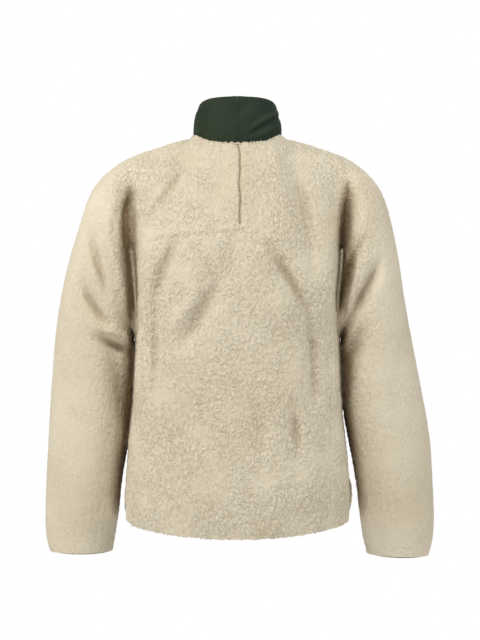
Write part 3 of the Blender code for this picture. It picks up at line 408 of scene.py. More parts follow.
def wandered(points):
    """The points with the cloth round the centre back seam drawn sideways."""
    z = points[:, 2]
    near = np.exp(-((points[:, 0] / SEAM_SPREAD) ** 2)) * (points[:, 1] > 0)
    down = np.clip(-z / SEAM_HEAD_FADE, 0, 1) * np.clip((z - SEAM_END_Z) / SEAM_END_FADE, 0, 1)
    wave = SEAM_WAVE * np.sin(z * SEAM_WAVES[0]) * np.sin(z * SEAM_WAVES[1] + 1.0)
    points[:, 0] += near * down * (SEAM_SHIFT + wave)
    return points


def creased(surface):
    """The sewn cloth with its creases: points, normals, quads, piece numbers and crease depths."""
    points, normals, quads, numbers = surface
    points = wandered(points)
    depth, forward = crease_depth(points, normals)
    points = points + normals * swell(points, normals)[:, None] + forward[:, None] * (0, 1, 0)
    return points, normals, quads, numbers, depth


# The pile's colour is painted darker and browner where light hardly reaches it, as painted shade.
# Each place sends rays over its own sky, and those that soon meet other cloth count as lost light.
# Broad folds and the creases' own depth are added to that.
SKY_RAYS = 18
SKY_REACH = 0.060
SKY_START = 0.0025
SKY_NARROWED = 0.97
SHADE_LEAST = 0.10
SHADE_FULL = 0.62
SHADE_NEAR = 3
SHADE_SOFT = 0.0005
CAVITY_ROUNDS = 40
CAVITY_LEAST = 0.0004
CAVITY_FULL = 0.0070
CAVITY_PART = 0.42
CREASE_SHADE = 0.030


def cavity(points, normals, quads):
    """How far each point lies below the cloth around it, from 0 on the level to 1 in a deep fold."""
    sides = sides_of(quads)
    beside = np.bincount(sides.ravel(), minlength=len(points))[:, None]
    mean = points.copy()
    for _ in range(CAVITY_ROUNDS):
        total = np.stack([
            np.bincount(sides[:, 0], mean[sides[:, 1], axis], len(points))
            + np.bincount(sides[:, 1], mean[sides[:, 0], axis], len(points)) for axis in range(3)], axis=1)
        mean = mean * 0.5 + total / beside * 0.5
    below = ((mean - points) * normals).sum(axis=1)
    return np.clip((below - CAVITY_LEAST) / (CAVITY_FULL - CAVITY_LEAST), 0, 1)


def shaded(points, quads, where, facing):
    """How hidden from light each place is, from 0 in the open to 1 deep in a crevice."""
    cloth = BVHTree.FromPolygons(points.tolist(), quads.tolist())
    steps = (np.arange(SKY_RAYS) + 0.5) / SKY_RAYS
    turn = np.arange(SKY_RAYS) * math.pi * (3 - math.sqrt(5))
    flat = np.sqrt(1 - (1 - 2 * steps) ** 2)
    ball = np.stack((flat * np.cos(turn), flat * np.sin(turn), 1 - 2 * steps), axis=1) * SKY_NARROWED
    lost = np.empty(len(where))
    for number, (place, way) in enumerate(zip(where, facing)):
        start, rays = Vector(place + way * SKY_START), ball + way
        hits = (cloth.ray_cast(start, Vector(ray), SKY_REACH)[3] for ray in rays)
        lost[number] = sum(1 - hit / SKY_REACH for hit in hits if hit is not None) / SKY_RAYS
    return np.clip((lost - SHADE_LEAST) / (SHADE_FULL - SHADE_LEAST), 0, 1)


def with_shade(surface, shade, finder):
    """The cloth in columns of points, normals and painted shade, blended from the nearest shaded places."""
    points, normals, quads, numbers, _ = surface
    hollow = np.empty(len(points))
    for number, point in enumerate(points):
        near = finder.find_n(point, SHADE_NEAR)
        weights = [1 / (entry[2] + SHADE_SOFT) for entry in near]
        hollow[number] = sum(w * shade[entry[1]] for w, entry in zip(weights, near)) / sum(weights)
    return np.hstack((points, normals, hollow[:, None])), quads, numbers


def one_piece(surface, number):
    """The part of the sewn cloth that belongs to one piece, numbered afresh."""
    values, quads, numbers = surface
    own = quads[numbers == number]
    used, again = np.unique(own, return_inverse=True)
    return values[used], again.reshape(-1, 4)


# The wall of a fleece piece: the outer skin is divided fine enough to raise the pile's curls, and
# the smooth back of the knit is set in from the coarse skin. The pile dips along each seam, more at
# the centre back, where the deeper groove also gets painted shade in its colour, and it is brushed
# flatter on the outsides of the sleeves and the shoulders' ends.
PILE_WALL = 0.0060
PILE_DEPTH = 0.0024
GROOVE = 0.0003
CENTRE_GROOVE = 0.0042
GROOVE_REACH = 0.0022
CENTRE_REACH = 0.009
SEAM_FOOT_Z = -0.150
SEAM_DRAW = 0.00004
GROOVE_FLATTENS = 0.6
GROOVE_SHADE = 0.006
BRUSHED_X = 0.205
BRUSHED_FADE = 0.060
BRUSHED_FLAT = 0.60


def brushed(points):
    """How flat the pile lies at each point."""
    return np.clip((np.abs(points[:, 0]) - BRUSHED_X) / BRUSHED_FADE, 0, 1)


def toward_middle(points, quads, rim):
    """For each rim point the way into the piece along its cloth."""
    way = np.zeros_like(points)
    centres = points[quads].mean(axis=1)
    for corner in range(4):
        np.add.at(way, quads[:, corner], centres - points[quads[:, corner]])
    way = way[rim]
    return way / np.linalg.norm(way, axis=1)[:, None]


def mesh_of(name, points, faces, finish=None, sharp=None):
    """A smooth-shaded mesh of points and faces, with its edges kept sharp past an angle in degrees."""
    mesh = bpy.data.meshes.new(name)
    mesh.from_pydata(np.asarray(points).tolist(), [], [list(face) for face in faces])
    mesh.polygons.foreach_set("use_smooth", np.ones(len(mesh.polygons), dtype=bool))
    if sharp is not None:
        mesh.set_sharp_from_angle(angle=math.radians(sharp))
    if finish is not None:
        mesh.materials.append(finish)
    return mesh


def mark(mesh, label, values, kind="FLOAT", domain="POINT"):
    """Writes an attribute on a mesh, the same everywhere where the value is one number."""
    places = mesh.attributes.new(label, kind, domain).data
    column = np.ravel(values) if np.ndim(values) else np.full(len(places), values)
    places.foreach_set("vector" if kind == "FLOAT_VECTOR" else "value", column)


def fleece_wall(name, fine, coarse, parts):
    """The closed mesh of one fleece piece before its pile is raised, from its fine and coarse skins."""
    back_points, back_normals, back_quads = coarse[0][:, :3], coarse[0][:, 3:6], coarse[1]
    values, quads = divided(fine[0], fine[1], parts)
    points, normals, hollow = values[:, :3], values[:, 3:6], values[:, 6]
    normals /= np.linalg.norm(normals, axis=1)[:, None]
    after = rim_order(quads)
    rim = np.array(sorted(after))
    edge = nearest_of(points[rim])
    back_after = rim_order(back_quads)
    match = {place: int(rim[edge.find(back_points[place])[1]]) for place in back_after}
    found = [edge.find(point) for point in points]
    from_edge = np.array([entry[2] for entry in found])
    at_edge = np.array([entry[0] for entry in found])
    in_middle = (np.abs(at_edge[:, 0]) < CENTRE_REACH) & (at_edge[:, 1] > 0) & (at_edge[:, 2] > SEAM_FOOT_Z)
    groove = np.where(in_middle, CENTRE_GROOVE, GROOVE) * np.exp(-((from_edge / GROOVE_REACH) ** 2))
    outer = points - normals * groove[:, None]
    outer[rim] += toward_middle(points, quads, rim) * SEAM_DRAW
    inner = back_points - back_normals * PILE_WALL
    first = len(outer)
    faces = quads.tolist() + (back_quads[:, ::-1] + first).tolist()
    for start, end in back_after.items():
        chain = [match[start]]
        while chain[-1] != match[end]:
            chain.append(after[chain[-1]])
        faces.append(chain[::-1] + [first + start, first + end])
    mesh = mesh_of(name, np.concatenate((outer, inner)), faces)
    room = (PILE_DEPTH - groove * GROOVE_FLATTENS) * (1 - BRUSHED_FLAT * brushed(outer))
    # Painted shade: the deeper centre back groove is painted darker.
    hollow = np.clip(hollow + (groove - GROOVE) / GROOVE_SHADE, 0, 1)
    for label, column in (("pile_room", room), ("hollow", hollow), ("pile_side", np.ones(first))):
        mark(mesh, label, np.concatenate((column, np.zeros(len(inner)))))
    mark(mesh, "pile_way", np.concatenate((normals, back_normals)), "FLOAT_VECTOR")
    rim_keys = {key for face in mesh.polygons if len(face.vertices) > 4 for key in face.edge_keys}
    sharp = [tuple(sorted(line.vertices)) in rim_keys for line in mesh.edges]
    mark(mesh, "sharp_edge", sharp, "BOOLEAN", "EDGE")
    return mesh


class Tree:
    """A node tree that is written from Python, for geometry and for shaders."""

    def __init__(self, tree):
        self.tree = tree

    def node(self, kind, settings=None, **values):
        """One node of a kind with its settings made first, then the values or links of its sockets."""
        made = self.tree.nodes.new(kind)
        for key, value in (settings or {}).items():
            if key == "stops":
                while len(made.color_ramp.elements) < len(value):
                    made.color_ramp.elements.new(0.5)
                for element, (place, colour) in zip(made.color_ramp.elements, value):
                    element.position = place
                    element.color = colour
            else:
                setattr(made, key, value)
        for key, value in values.items():
            found = [s for s in made.inputs if s.enabled and s.name.replace(" ", "_").lower() == key.lower()]
            socket = found[0] if found else made.inputs[int(key.strip("_"))]
            if isinstance(value, Value):
                self.tree.links.new(value.socket, socket)
            else:
                socket.default_value = value
        return made

    def value(self, kind, output, settings=None, **values):
        """The output of such a node, to be used in an expression."""
        made = self.node(kind, settings, **values)
        return Value(self, made.outputs[output])

    def noise(self, place, scale, detail, output=0):
        """A noise over places, as a number, or as a colour from output 1."""
        return self.value("ShaderNodeTexNoise", output, vector=place, scale=scale, detail=detail)

    def cells(self, place, scale, blend):
        """How far each place is from the middle of its round cell."""
        return self.value(
            "ShaderNodeTexVoronoi", 0, {"feature": "SMOOTH_F1"}, vector=place, scale=scale, smoothness=blend)

    def stored(self, name, kind="FLOAT"):
        """An attribute that was marked on the mesh."""
        return self.value("GeometryNodeInputNamedAttribute", 0, {"data_type": kind}, name=name)

    def axes_of(self, vector):
        """The x, y and z of a vector."""
        parted = self.node("ShaderNodeSeparateXYZ", vector=vector)
        return [Value(self, parted.outputs[axis]) for axis in "XYZ"]

    def vector(self, operation, first, **others):
        """One Vector Math node on a vector and what else the operation takes."""
        return self.value("ShaderNodeVectorMath", 0, {"operation": operation}, _0=first, **others)

    def mixed(self, factor, first, second, blend="MIX"):
        """A colour between two others."""
        settings = {"data_type": "RGBA", "blend_type": blend}
        return self.value("ShaderNodeMix", 2, settings, factor=factor, _6=first, _7=second)

    def feed(self, value, shader, name):
        """Links a value to one of the inputs of a surface shader."""
        self.tree.links.new(value.socket, shader.inputs[name])


class Value:
    """A socket that can be used in sums."""

    def __init__(self, tree, socket):
        self.tree = tree
        self.socket = socket

    def sum_of(self, operation, first, second, clamp=False):
        """One Math node on two values or numbers."""
        settings = {"operation": operation, "use_clamp": clamp}
        return self.tree.value("ShaderNodeMath", 0, settings, _0=first, _1=second)

    def __add__(self, other):
        return self.sum_of("ADD", self, other)

    def __radd__(self, other):
        return self.sum_of("ADD", other, self)

    def __sub__(self, other):
        return self.sum_of("SUBTRACT", self, other)

    def __rsub__(self, other):
        return self.sum_of("SUBTRACT", other, self)

    def __mul__(self, other):
        return self.sum_of("MULTIPLY", self, other)

    def __rmul__(self, other):
        return self.sum_of("MULTIPLY", other, self)

    def __rtruediv__(self, other):
        return self.sum_of("DIVIDE", other, self)

    def clamped(self):
        """The same value held between 0 and 1."""
        return self.sum_of("ADD", self, 0.0, True)


def geometry_tree(name, numbers, others):
    """A Geometry Nodes tree with named inputs, and those inputs as values."""
    tree = bpy.data.node_groups.new(name, "GeometryNodeTree")
    tree.interface.new_socket("Geometry", in_out="INPUT", socket_type="NodeSocketGeometry")
    for label, default in numbers:
        socket = tree.interface.new_socket(label, in_out="INPUT", socket_type="NodeSocketFloat")
        socket.default_value = default
    for label, kind in others:
        tree.interface.new_socket(label, in_out="INPUT", socket_type=kind)
    tree.interface.new_socket("Geometry", in_out="OUTPUT", socket_type="NodeSocketGeometry")
    build = Tree(tree)
    entry = tree.nodes.new("NodeGroupInput")
    return build, {s.name: Value(build, s) for s in entry.outputs if s.name}


def close_tree(build, geometry, finish):
    """Ends a Geometry Nodes tree in Realize Instances and Set Material, and hands it over."""
    whole = build.value("GeometryNodeRealizeInstances", 0, geometry=geometry)
    dressed = build.value("GeometryNodeSetMaterial", 0, geometry=whole, material=finish)
    output = build.tree.nodes.new("NodeGroupOutput")
    build.tree.links.new(dressed.socket, output.inputs[0])
    return build.tree


def raised(name, mesh, tree, **inputs):
    """The plain mesh that a Geometry Nodes tree makes of a mesh."""
    item = in_scene(bpy.data.objects.new(name + "_raising", mesh))
    step = item.modifiers.new("raise", "NODES")
    step.node_group = tree
    for socket in tree.interface.items_tree:
        key = socket.name.replace(" ", "_").lower()
        if socket.in_out == "INPUT" and key in inputs:
            step[socket.identifier] = inputs[key]
    result = bpy.data.meshes.new_from_object(item.evaluated_get(bpy.context.evaluated_depsgraph_get()))
    bpy.data.objects.remove(item)
    result.name = name
    return result


def put(name, mesh):
    """A finished piece in the scene, riding on the jacket's body."""
    item = in_scene(bpy.data.objects.new(name, mesh))
    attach(item, "jacket")
    return item


def finish_of(name, **constants):
    """A new material: its tree, its surface shader and the material."""
    material = bpy.data.materials.new(name)
    material.use_nodes = True
    tree = material.node_tree
    shader = tree.nodes["Principled BSDF"]
    for key, value in constants.items():
        shader.inputs[key.replace("_", " ")].default_value = value
    return Tree(tree), shader, material


# Raising the pile: soft round curls from warped cells, with finer fibres on them. Between the curls
# the outer skin sinks toward the knit, by as much as there is room in the pile.
TUFT = 0.0070
CURL = 0.0055
CURL_SPAN = 0.0140
FIBRE = 0.0036
COMB = 0.7
PILE_PROUD = 0.0012
CELL_BLEND = 0.35
TUFT_TOP = 1.15
TUFT_FALL = 1.35
TUFT_PART = 0.78
FIBRE_PART = 0.55
FIBRE_LEVEL = 0.3
NOISE_SWING = 4


def stirred(build, place, comb, span, stir):
    """Places on the cloth, drawn out downward and stirred round, for its curls to lie on."""
    stretch = build.value("ShaderNodeCombineXYZ", 0, x=1.0, y=1.0, z=comb)
    combed = build.vector("MULTIPLY", place, _1=stretch)
    swirl = build.noise(combed, 1 / span, detail=1.0, output=1)
    turned = build.vector("SUBTRACT", swirl, _1=(0.5, 0.5, 0.5))
    moved = build.vector("SCALE", turned, scale=stir * NOISE_SWING)
    return build.vector("ADD", combed, _1=moved)


build, given = geometry_tree("pile", (
    ("Tuft", TUFT), ("Curl", CURL), ("Curl Span", CURL_SPAN), ("Fibre", FIBRE), ("Comb", COMB),
    ("Proud", PILE_PROUD)),
    (("Finish", "NodeSocketMaterial"),))
place = build.value("GeometryNodeInputPosition", 0)
curly = stirred(build, place, given["Comb"], given["Curl Span"], given["Curl"])
round_tuft = (TUFT_TOP - build.cells(curly, 1 / given["Tuft"], CELL_BLEND) * TUFT_FALL).clamped()
fibre = build.noise(curly, 1 / given["Fibre"], detail=1.0)
tuft = (round_tuft * TUFT_PART + (fibre - FIBRE_LEVEL) * FIBRE_PART).clamped()
side = build.stored("pile_side")
room = build.stored("pile_room")
way = build.stored("pile_way", "FLOAT_VECTOR")
sinking = build.vector("SCALE", way, scale=(tuft - 1) * room + given["Proud"] * side)
raised_pile = build.value("GeometryNodeSetPosition", 0, geometry=given["Geometry"], offset=sinking)
marked = build.value(
    "GeometryNodeStoreNamedAttribute", 0, {"data_type": "FLOAT", "domain": "POINT"},
    geometry=raised_pile, name="tuft", value=tuft * side)
pile_tree = close_tree(build, marked, given["Finish"])

# The fleece's colour: warm cream at the tips and browner in between the curls, partly the pile's
# own grain and partly painted shade in the gaps, and painted shade darkens it in the folds. The
# small curls are round cells on a swirled grid, drawn out downward as the pile is combed, and they
# show less where it is brushed flat.
CURL_WIDE = 0.0036
CURL_SWIRL = 0.0024
CURL_TURN = 0.0070
CURL_COMB = 0.68
PILE_TONES = (
    (0.0, (0.36, 0.280, 0.155, 1)), (0.35, (0.60, 0.510, 0.355, 1)),
    (0.6, (0.765, 0.680, 0.520, 1)), (1.0, (0.890, 0.825, 0.690, 1)))
PAINTED_SHADE_TONE = (0.30, 0.225, 0.125, 1)
MIDDLE_TONE = 0.56
CURL_BLEND = 0.15
CURL_FALL = 1.6
CURL_LEVEL = 0.65
CURL_PART = 0.24
TIP_LEVEL = 0.55
TIP_PART = 0.16
PATCHES = 7.0
PATCH_PART = 0.40
RUBS = 16.0
RUB_SHARP = 2.4
RUB_LEVEL = 0.35
HAIRS = 800.0
HAIR_PART = 0.15
build, shader, fleece_finish = finish_of(
    "fleece_pile", Roughness=0.92, Sheen_Weight=0.15, Sheen_Roughness=0.6, Specular_IOR_Level=0.10)
tips = build.value("ShaderNodeAttribute", "Fac", {"attribute_name": "tuft"})
hollow = build.value("ShaderNodeAttribute", "Fac", {"attribute_name": "hollow"})
spot = build.value("ShaderNodeTexCoord", "Object")
curly = stirred(build, spot, CURL_COMB, CURL_TURN, CURL_SWIRL)
cells = build.cells(curly, 1 / CURL_WIDE, CURL_BLEND)
curl = (1.0 - cells * cells * CURL_FALL).clamped()
hair = build.noise(curly, HAIRS, detail=1.0)
patches = build.noise(spot, PATCHES, detail=2.0)
rubbed = build.noise(spot, RUBS, detail=2.0)
sideways = build.value("ShaderNodeMath", 0, {"operation": "ABSOLUTE"}, _0=build.axes_of(spot)[0])
flat = ((sideways - BRUSHED_X) * (1 / BRUSHED_FADE)).clamped() * BRUSHED_FLAT
flatter = (1 - flat) * (rubbed * RUB_SHARP - RUB_LEVEL).clamped()
# The tips and curls are partly the pile's own grain and partly painted shade, darker in the gaps between the
# curls.
grain = (tips - TIP_LEVEL) * TIP_PART + (curl - CURL_LEVEL) * CURL_PART
depth = (MIDDLE_TONE + grain * flatter + (patches - 0.5) * PATCH_PART).clamped()
lit = build.value("ShaderNodeValToRGB", 0, {"stops": PILE_TONES}, fac=depth)
# Painted shade: the colour is multiplied toward dark brown where the cloth is hidden from light, in folds,
# creases, seams and the crevices between sleeve and body.
build.feed(build.mixed(hollow, lit, PAINTED_SHADE_TONE, "MULTIPLY"), shader, "Base Color")
relief = (curl * (1 - HAIR_PART) + hair * HAIR_PART) * flatter
build.feed(build.value("ShaderNodeBump", 0, strength=0.85, distance=0.0024, height=relief), shader, "Normal")

# What each fleece piece was cut to: its width and length lying flat, and the area of its outline.
# The last number is how often its quads are divided to raise the pile: the brushed lower sleeves
# need less. Each piece keeps the place of its solid.
CUTS = {
    "back": (0.560, 0.535, 0.270, 3),
    "front_left": (0.290, 0.590, 0.138, 3),
    "front_right": (0.290, 0.590, 0.138, 3),
    "yoke_sleeve_left": (0.560, 0.580, 0.215, 3),
    "yoke_sleeve_right": (0.560, 0.600, 0.224, 3),
    "lower_sleeve_left": (0.440, 0.330, 0.129, 2),
    "lower_sleeve_right": (0.420, 0.310, 0.117, 2),
}
cloth = sewn_together(CUTS)
fit_through(cloth)
coarse_cloth, fine_cloth = creased(smoothed(cloth, 1)), creased(smoothed(cloth, 2))
shade = shaded(fine_cloth[0], fine_cloth[2], *coarse_cloth[:2])
shade = np.clip(shade + CAVITY_PART * cavity(*coarse_cloth[:3]) + coarse_cloth[4] / CREASE_SHADE, 0, 1)
shade_places = nearest_of(coarse_cloth[0])
coarse_cloth, fine_cloth = (
    with_shade(surface, shade, shade_places) for surface in (coarse_cloth, fine_cloth))
for number, (node, (wide, long, area, parts)) in enumerate(CUTS.items()):
    wall = fleece_wall(node + "_wall", one_piece(fine_cloth, number), one_piece(coarse_cloth, number), parts)
    piece = put(node + "_fleece", raised(node + "_fleece", wall, pile_tree, finish=fleece_finish))
    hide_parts(node)


# The loose ends: tufts of the same pile that stand out past the edges of the cloth at the hem and
# the neck, where it is turned in and the curls are teased out.
TUFT_LONG = 0.0042
TUFT_WIDE = 0.0017
TUFT_PITCH = 0.0017
TUFT_SUNK = 0.3
TUFT_SIDES = 5
TUFT_RINGS = ((0.0, 0.8, 0.0), (0.35, 1.0, 0.10), (0.78, 0.75, 0.45), (1.0, 0.25, 0.90))
TUFT_TONE = 0.9
TUFT_LEAST = 0.55
TUFT_MOST = 1.25
EDGE_UNDER = 0.0015
EDGE_LEVEL = 0.8
EDGE_UP = 0.75
EDGE_OUT = 0.8
HEM_Z = -0.450
HEM_X = 0.195
NECK_Z = -0.075
NECK_REACH = 0.125


def line_tree(name, numbers):
    """The start of a tree for things along a line: its inputs, points at a pitch, and the thing."""
    build, given = geometry_tree(
        name, numbers, (("Thing", "NodeSocketObject"), ("Finish", "NodeSocketMaterial")))
    line = build.value("GeometryNodeMeshToCurve", 0, mesh=given["Geometry"])
    beads = build.value("GeometryNodeResampleCurve", 0, {"mode": "LENGTH"}, curve=line, length=given["Pitch"])
    thing = build.value(
        "GeometryNodeObjectInfo", "Geometry", {"transform_space": "ORIGINAL"}, object=given["Thing"])
    return build, given, beads, thing


build, given, beads, thing = line_tree("fringe", (("Pitch", TUFT_PITCH), ("Unruly", 1.0)))
way = build.stored("tuft_way", "FLOAT_VECTOR")
astray = build.value(
    "FunctionNodeRandomValue", 0, {"data_type": "FLOAT_VECTOR"},
    min=(-1.0, -1.0, -1.0), max=(1.0, 1.0, 1.0), seed=4)
aim = build.vector("ADD", way, _1=build.vector("SCALE", astray, scale=given["Unruly"]))
turned = build.value("FunctionNodeAlignRotationToVector", 0, {"axis": "Z"}, vector=aim)
size = build.value(
    "FunctionNodeRandomValue", 1, {"data_type": "FLOAT"}, min=TUFT_LEAST, max=TUFT_MOST, seed=9)
things = build.value(
    "GeometryNodeInstanceOnPoints", 0, points=beads, instance=thing, rotation=turned, scale=size)
fringe_tree = close_tree(build, things, given["Finish"])

tuft_points = [
    (TUFT_WIDE * (wide * math.cos(turn) + lean), TUFT_WIDE * wide * math.sin(turn),
     TUFT_LONG * (up - TUFT_SUNK))
    for up, wide, lean in TUFT_RINGS for turn in np.arange(TUFT_SIDES) * math.tau / TUFT_SIDES]
tuft_top = len(tuft_points) - TUFT_SIDES
tuft_faces = [range(TUFT_SIDES - 1, -1, -1)]
for first in range(0, tuft_top, TUFT_SIDES):
    for n in range(TUFT_SIDES):
        after = (n + 1) % TUFT_SIDES
        tuft_faces.append((first + n, first + after, first + TUFT_SIDES + after, first + TUFT_SIDES + n))
tuft_faces.append(range(tuft_top, len(tuft_points)))
tuft_mesh = mesh_of("tuft", tuft_points, tuft_faces)
mark(tuft_mesh, "tuft", TUFT_TONE)
loose_tuft = in_scene(bpy.data.objects.new("tuft", tuft_mesh))
points, normals, quads = coarse_cloth[0][:, :3], coarse_cloth[0][:, 3:6], coarse_cloth[1]
edge_after = rim_order(quads)
rim = np.array(sorted(edge_after))
edge_way = np.zeros_like(points)
edge_way[rim] = normals[rim] * EDGE_UP - toward_middle(points, quads, rim) * EDGE_OUT
at_hem = (points[:, 2] < HEM_Z) & (np.abs(points[:, 0]) < HEM_X)
at_neck = (points[:, 2] > NECK_Z) & (np.hypot(points[:, 0], points[:, 1]) < NECK_REACH)
for name, chosen in (("tufts_hem", at_hem), ("tufts_neck", at_neck)):
    lines = []
    for start, end in edge_after.items():
        rise, run = abs(points[start, 2] - points[end, 2]), np.linalg.norm(points[start] - points[end])
        if chosen[start] and chosen[end] and rise < EDGE_LEVEL * run:
            lines.append((start, end))
    edge_line = bpy.data.meshes.new("edge_line")
    edge_line.from_pydata((points - normals * EDGE_UNDER).tolist(), lines, [])
    mark(edge_line, "tuft_way", edge_way, "FLOAT_VECTOR")
    piece = put(name, raised(name, edge_line, fringe_tree, thing=loose_tuft, finish=fleece_finish))
bpy.data.objects.remove(loose_tuft)

# The pocket lips: a folded strip of the same fleece, sewn along each slanted hand pocket. Its pile is
# raised in the same way over the whole strip.
LIP_ROOM = 0.0016
CORNER_CREASE = 0.85
QUAD_BEND = math.radians(70)


def rounded_copy(node, levels):
    """The smooth surface of a whole solid, its sharp edges just rounded: points, normals and quads."""
    solid = bmesh.new()
    solid.from_mesh(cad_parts[node].data)
    bmesh.ops.remove_doubles(solid, verts=solid.verts, dist=WELD)
    bmesh.ops.join_triangles(
        solid, faces=solid.faces, angle_face_threshold=SKIN_TURN, angle_shape_threshold=QUAD_BEND)
    held = solid.edges.layers.float.new("crease_edge")
    for edge in solid.edges:
        if len(edge.link_faces) == 2 and edge.calc_face_angle() > SKIN_TURN:
            edge[held] = CORNER_CREASE
    for face in solid.faces:
        face.smooth = True
    mesh = bpy.data.meshes.new(node + "_rounded")
    solid.to_mesh(mesh)
    solid.free()
    fit_through(mesh)
    return smoothed(mesh, levels)[:3]


for node in ("pocket_lip_left", "pocket_lip_right"):
    points, normals, quads = rounded_copy(node, 3)
    wall = mesh_of("pocket_lip_wall", points, quads)
    for label, value in (("pile_room", LIP_ROOM), ("hollow", 0.0), ("pile_side", 1.0)):
        mark(wall, label, value)
    mark(wall, "pile_way", normals, "FLOAT_VECTOR")
    piece = put(node + "_fleece", raised(node + "_fleece", wall, pile_tree, finish=fleece_finish, proud=0.0))
    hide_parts(node)

# The woven trim: collar, bindings and zip tapes of one dark green plain-weave nylon. The weave
# follows the way round the neck and the height; thread by thread it only shows close to.
THREAD = 0.00055
NECK_RADIUS = 0.070
GREEN = (0.016, 0.028, 0.011, 1)
SHADED_SIDE_GREEN = (0.012, 0.024, 0.016, 1)
PALE_FLECK_AND_HIGHLIGHT_GREEN = (0.052, 0.074, 0.040, 1)
CLOUDS = 22.0
FLECKS = 1500.0
CLOUD_PART = 0.5
FLECK_PART = 0.35
WEAVE_PART = 0.10
LIFT_LEVEL = 0.35
BLUER_ASIDE = -7.0
BLUER_UP = 4.0
BLUER_LEVEL = 0.30
build, shader, woven_finish = finish_of(
    "green_nylon", Roughness=0.70, Sheen_Weight=0.03, Sheen_Roughness=0.4, Specular_IOR_Level=0.22)
spot = build.value("ShaderNodeTexCoord", "Object")
x, y, z = build.axes_of(spot)
round_neck = build.value("ShaderNodeMath", 0, {"operation": "ARCTAN2"}, _0=x, _1=y)
warp = build.value(
    "ShaderNodeMath", 0, {"operation": "SINE"}, _0=round_neck * (NECK_RADIUS * math.pi / THREAD))
weft = build.value("ShaderNodeMath", 0, {"operation": "SINE"}, _0=z * (math.pi / THREAD))
weave = warp * weft
cloud = build.noise(spot, CLOUDS, detail=3.0)
fleck = build.noise(spot, FLECKS, detail=1.0)
worn = build.value("ShaderNodeAttribute", "Fac", {"attribute_name": "worn"})
# Painted shade: toward the right side, and a little higher up, the nylon is painted darker and bluer.
shaded_side = (x * BLUER_ASIDE + z * BLUER_UP + BLUER_LEVEL).clamped()
# The colour is lifted toward a paler green by clouds, flecks and the weave, which are the nylon's own, and by
# the painted highlight on the collar's ridges, top and roll.
lift = (cloud * CLOUD_PART + fleck * FLECK_PART + weave * WEAVE_PART - LIFT_LEVEL + worn).clamped()
build.feed(build.mixed(lift, build.mixed(shaded_side, GREEN, SHADED_SIDE_GREEN), PALE_FLECK_AND_HIGHLIGHT_GREEN), shader, "Base Color")
relief = weave * 0.5 + fleck
build.feed(build.value("ShaderNodeBump", 0, strength=0.35, distance=0.0003, height=relief), shader, "Normal")

# The stand collar: two halves, lined and turned at the top into a soft roll, joined in a flat taped
# seam at the centre back. It creases where it folds over at the right side, and its colour is painted
# lighter along its top and on its ridges as a painted highlight.
COLLAR_CREASES = (
    (-0.022, 0.016, -0.048, 0.036, -0.078, 0.055, 1, 0.0036, 0.0048),
    (-0.024, 0.029, -0.050, 0.048, -0.072, 0.062, 1, 0.0045, -0.0018),
    (-0.034, 0.012, -0.058, 0.028, -0.080, 0.044, 1, 0.0045, -0.0014),
    (-0.045, 0.008, -0.064, 0.018, -0.082, 0.026, 1, 0.0040, 0.0012),
    (0.072, 0.064, 0.065, 0.052, 0.060, 0.038, 1, 0.0045, 0.0022),
    (0.050, 0.070, 0.044, 0.056, 0.046, 0.040, 1, 0.0070, 0.0010),
    (0.074, 0.040, 0.062, 0.026, 0.044, 0.018, 1, 0.0050, 0.0011),
    (0.020, 0.076, 0.016, 0.056, 0.022, 0.030, 1, 0.0090, 0.0008),
    (0.058, 0.046, 0.040, 0.020, 0.014, -0.004, -1, 0.0050, 0.0016),
    (-0.060, 0.040, -0.038, 0.014, -0.016, -0.012, -1, 0.0050, 0.0016),
    (0.070, 0.052, 0.056, 0.034, 0.034, 0.022, -1, 0.0040, 0.0012),
)
COLLAR_LEVEL = (0.045, 0.040, -0.020)
COLLAR_STEPS = 6
ROLL_RADIUS = 0.0014
ROLL_LIFT = 0.0003
ROLL_HIGHLIGHT = 0.42
STITCH_BELOW = 0.0065
STITCH_REACH = 1.04
STITCH_ENDS = 2
STITCH_DIP = 0.0006
STITCH_DIP_REACH = 0.0011
CENTRE_DIP = 0.0001
CENTRE_DIP_REACH = 0.0016
CENTRE_HALF = 0.0006
CENTRE_GAP = 0.00002
RIPPLE = 0.0007
RIPPLE_ROUND = (5.3, 2.1)
RIPPLE_UP = (60, 85)
RIDGE_HIGH = 0.004
RIDGE_HIGHLIGHT = 0.3
TOP_HIGHLIGHT = 0.18
TOP_HIGHLIGHT_REACH = 0.003
SEAM_TAPE = 0.0013
TAPE_STEPS = 3
WOVEN_TURN = 60


def smooth_line(points, steps):
    """A curve through points, as many times finer."""
    points = np.asarray(points, dtype=float)
    before = np.vstack((2 * points[:1] - points[1:2], points[:-1]))
    beyond = np.vstack((points[2:], 2 * points[-1:] - points[-2:-1]))
    found = []
    for a, b, c, d in zip(before[:-1], points[:-1], points[1:], beyond):
        for t in np.arange(steps) / steps:
            found.append(0.5 * (2 * b + (c - a) * t + (2 * a - 5 * b + 4 * c - d) * t**2
                                + (3 * b - a - 3 * c + d) * t**3))
    return np.array(found + [points[-1]])


def top_of_collar(node):
    """The outer and the inner top edge of half a collar, from the centre back to the front."""
    solid = bmesh.new()
    solid.from_mesh(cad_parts[node].data)
    bmesh.ops.remove_doubles(solid, verts=solid.verts, dist=WELD)
    rims = {}
    for edge in solid.edges:
        if edge.calc_face_angle() > SKIN_TURN:
            for vert in edge.verts:
                rims[vert.index] = vert.co.copy()
    solid.free()
    points = np.array(list(rims.values()))
    angle = np.abs(np.arctan2(points[:, 0], points[:, 1]))
    upper = points[:, 2] > np.interp(angle, (0, math.pi / 2, math.pi), COLLAR_LEVEL)
    points = points[upper][np.argsort(angle[upper])]
    reach = np.hypot(points[:, 0], points[:, 1])
    outer, inner = [], []
    for first in range(0, len(points) - 1, 2):
        pair = points[first:first + 2]
        far = int(reach[first + 1] > reach[first])
        outer.append(pair[far])
        inner.append(pair[1 - far])
    return np.array(outer), np.array(inner)


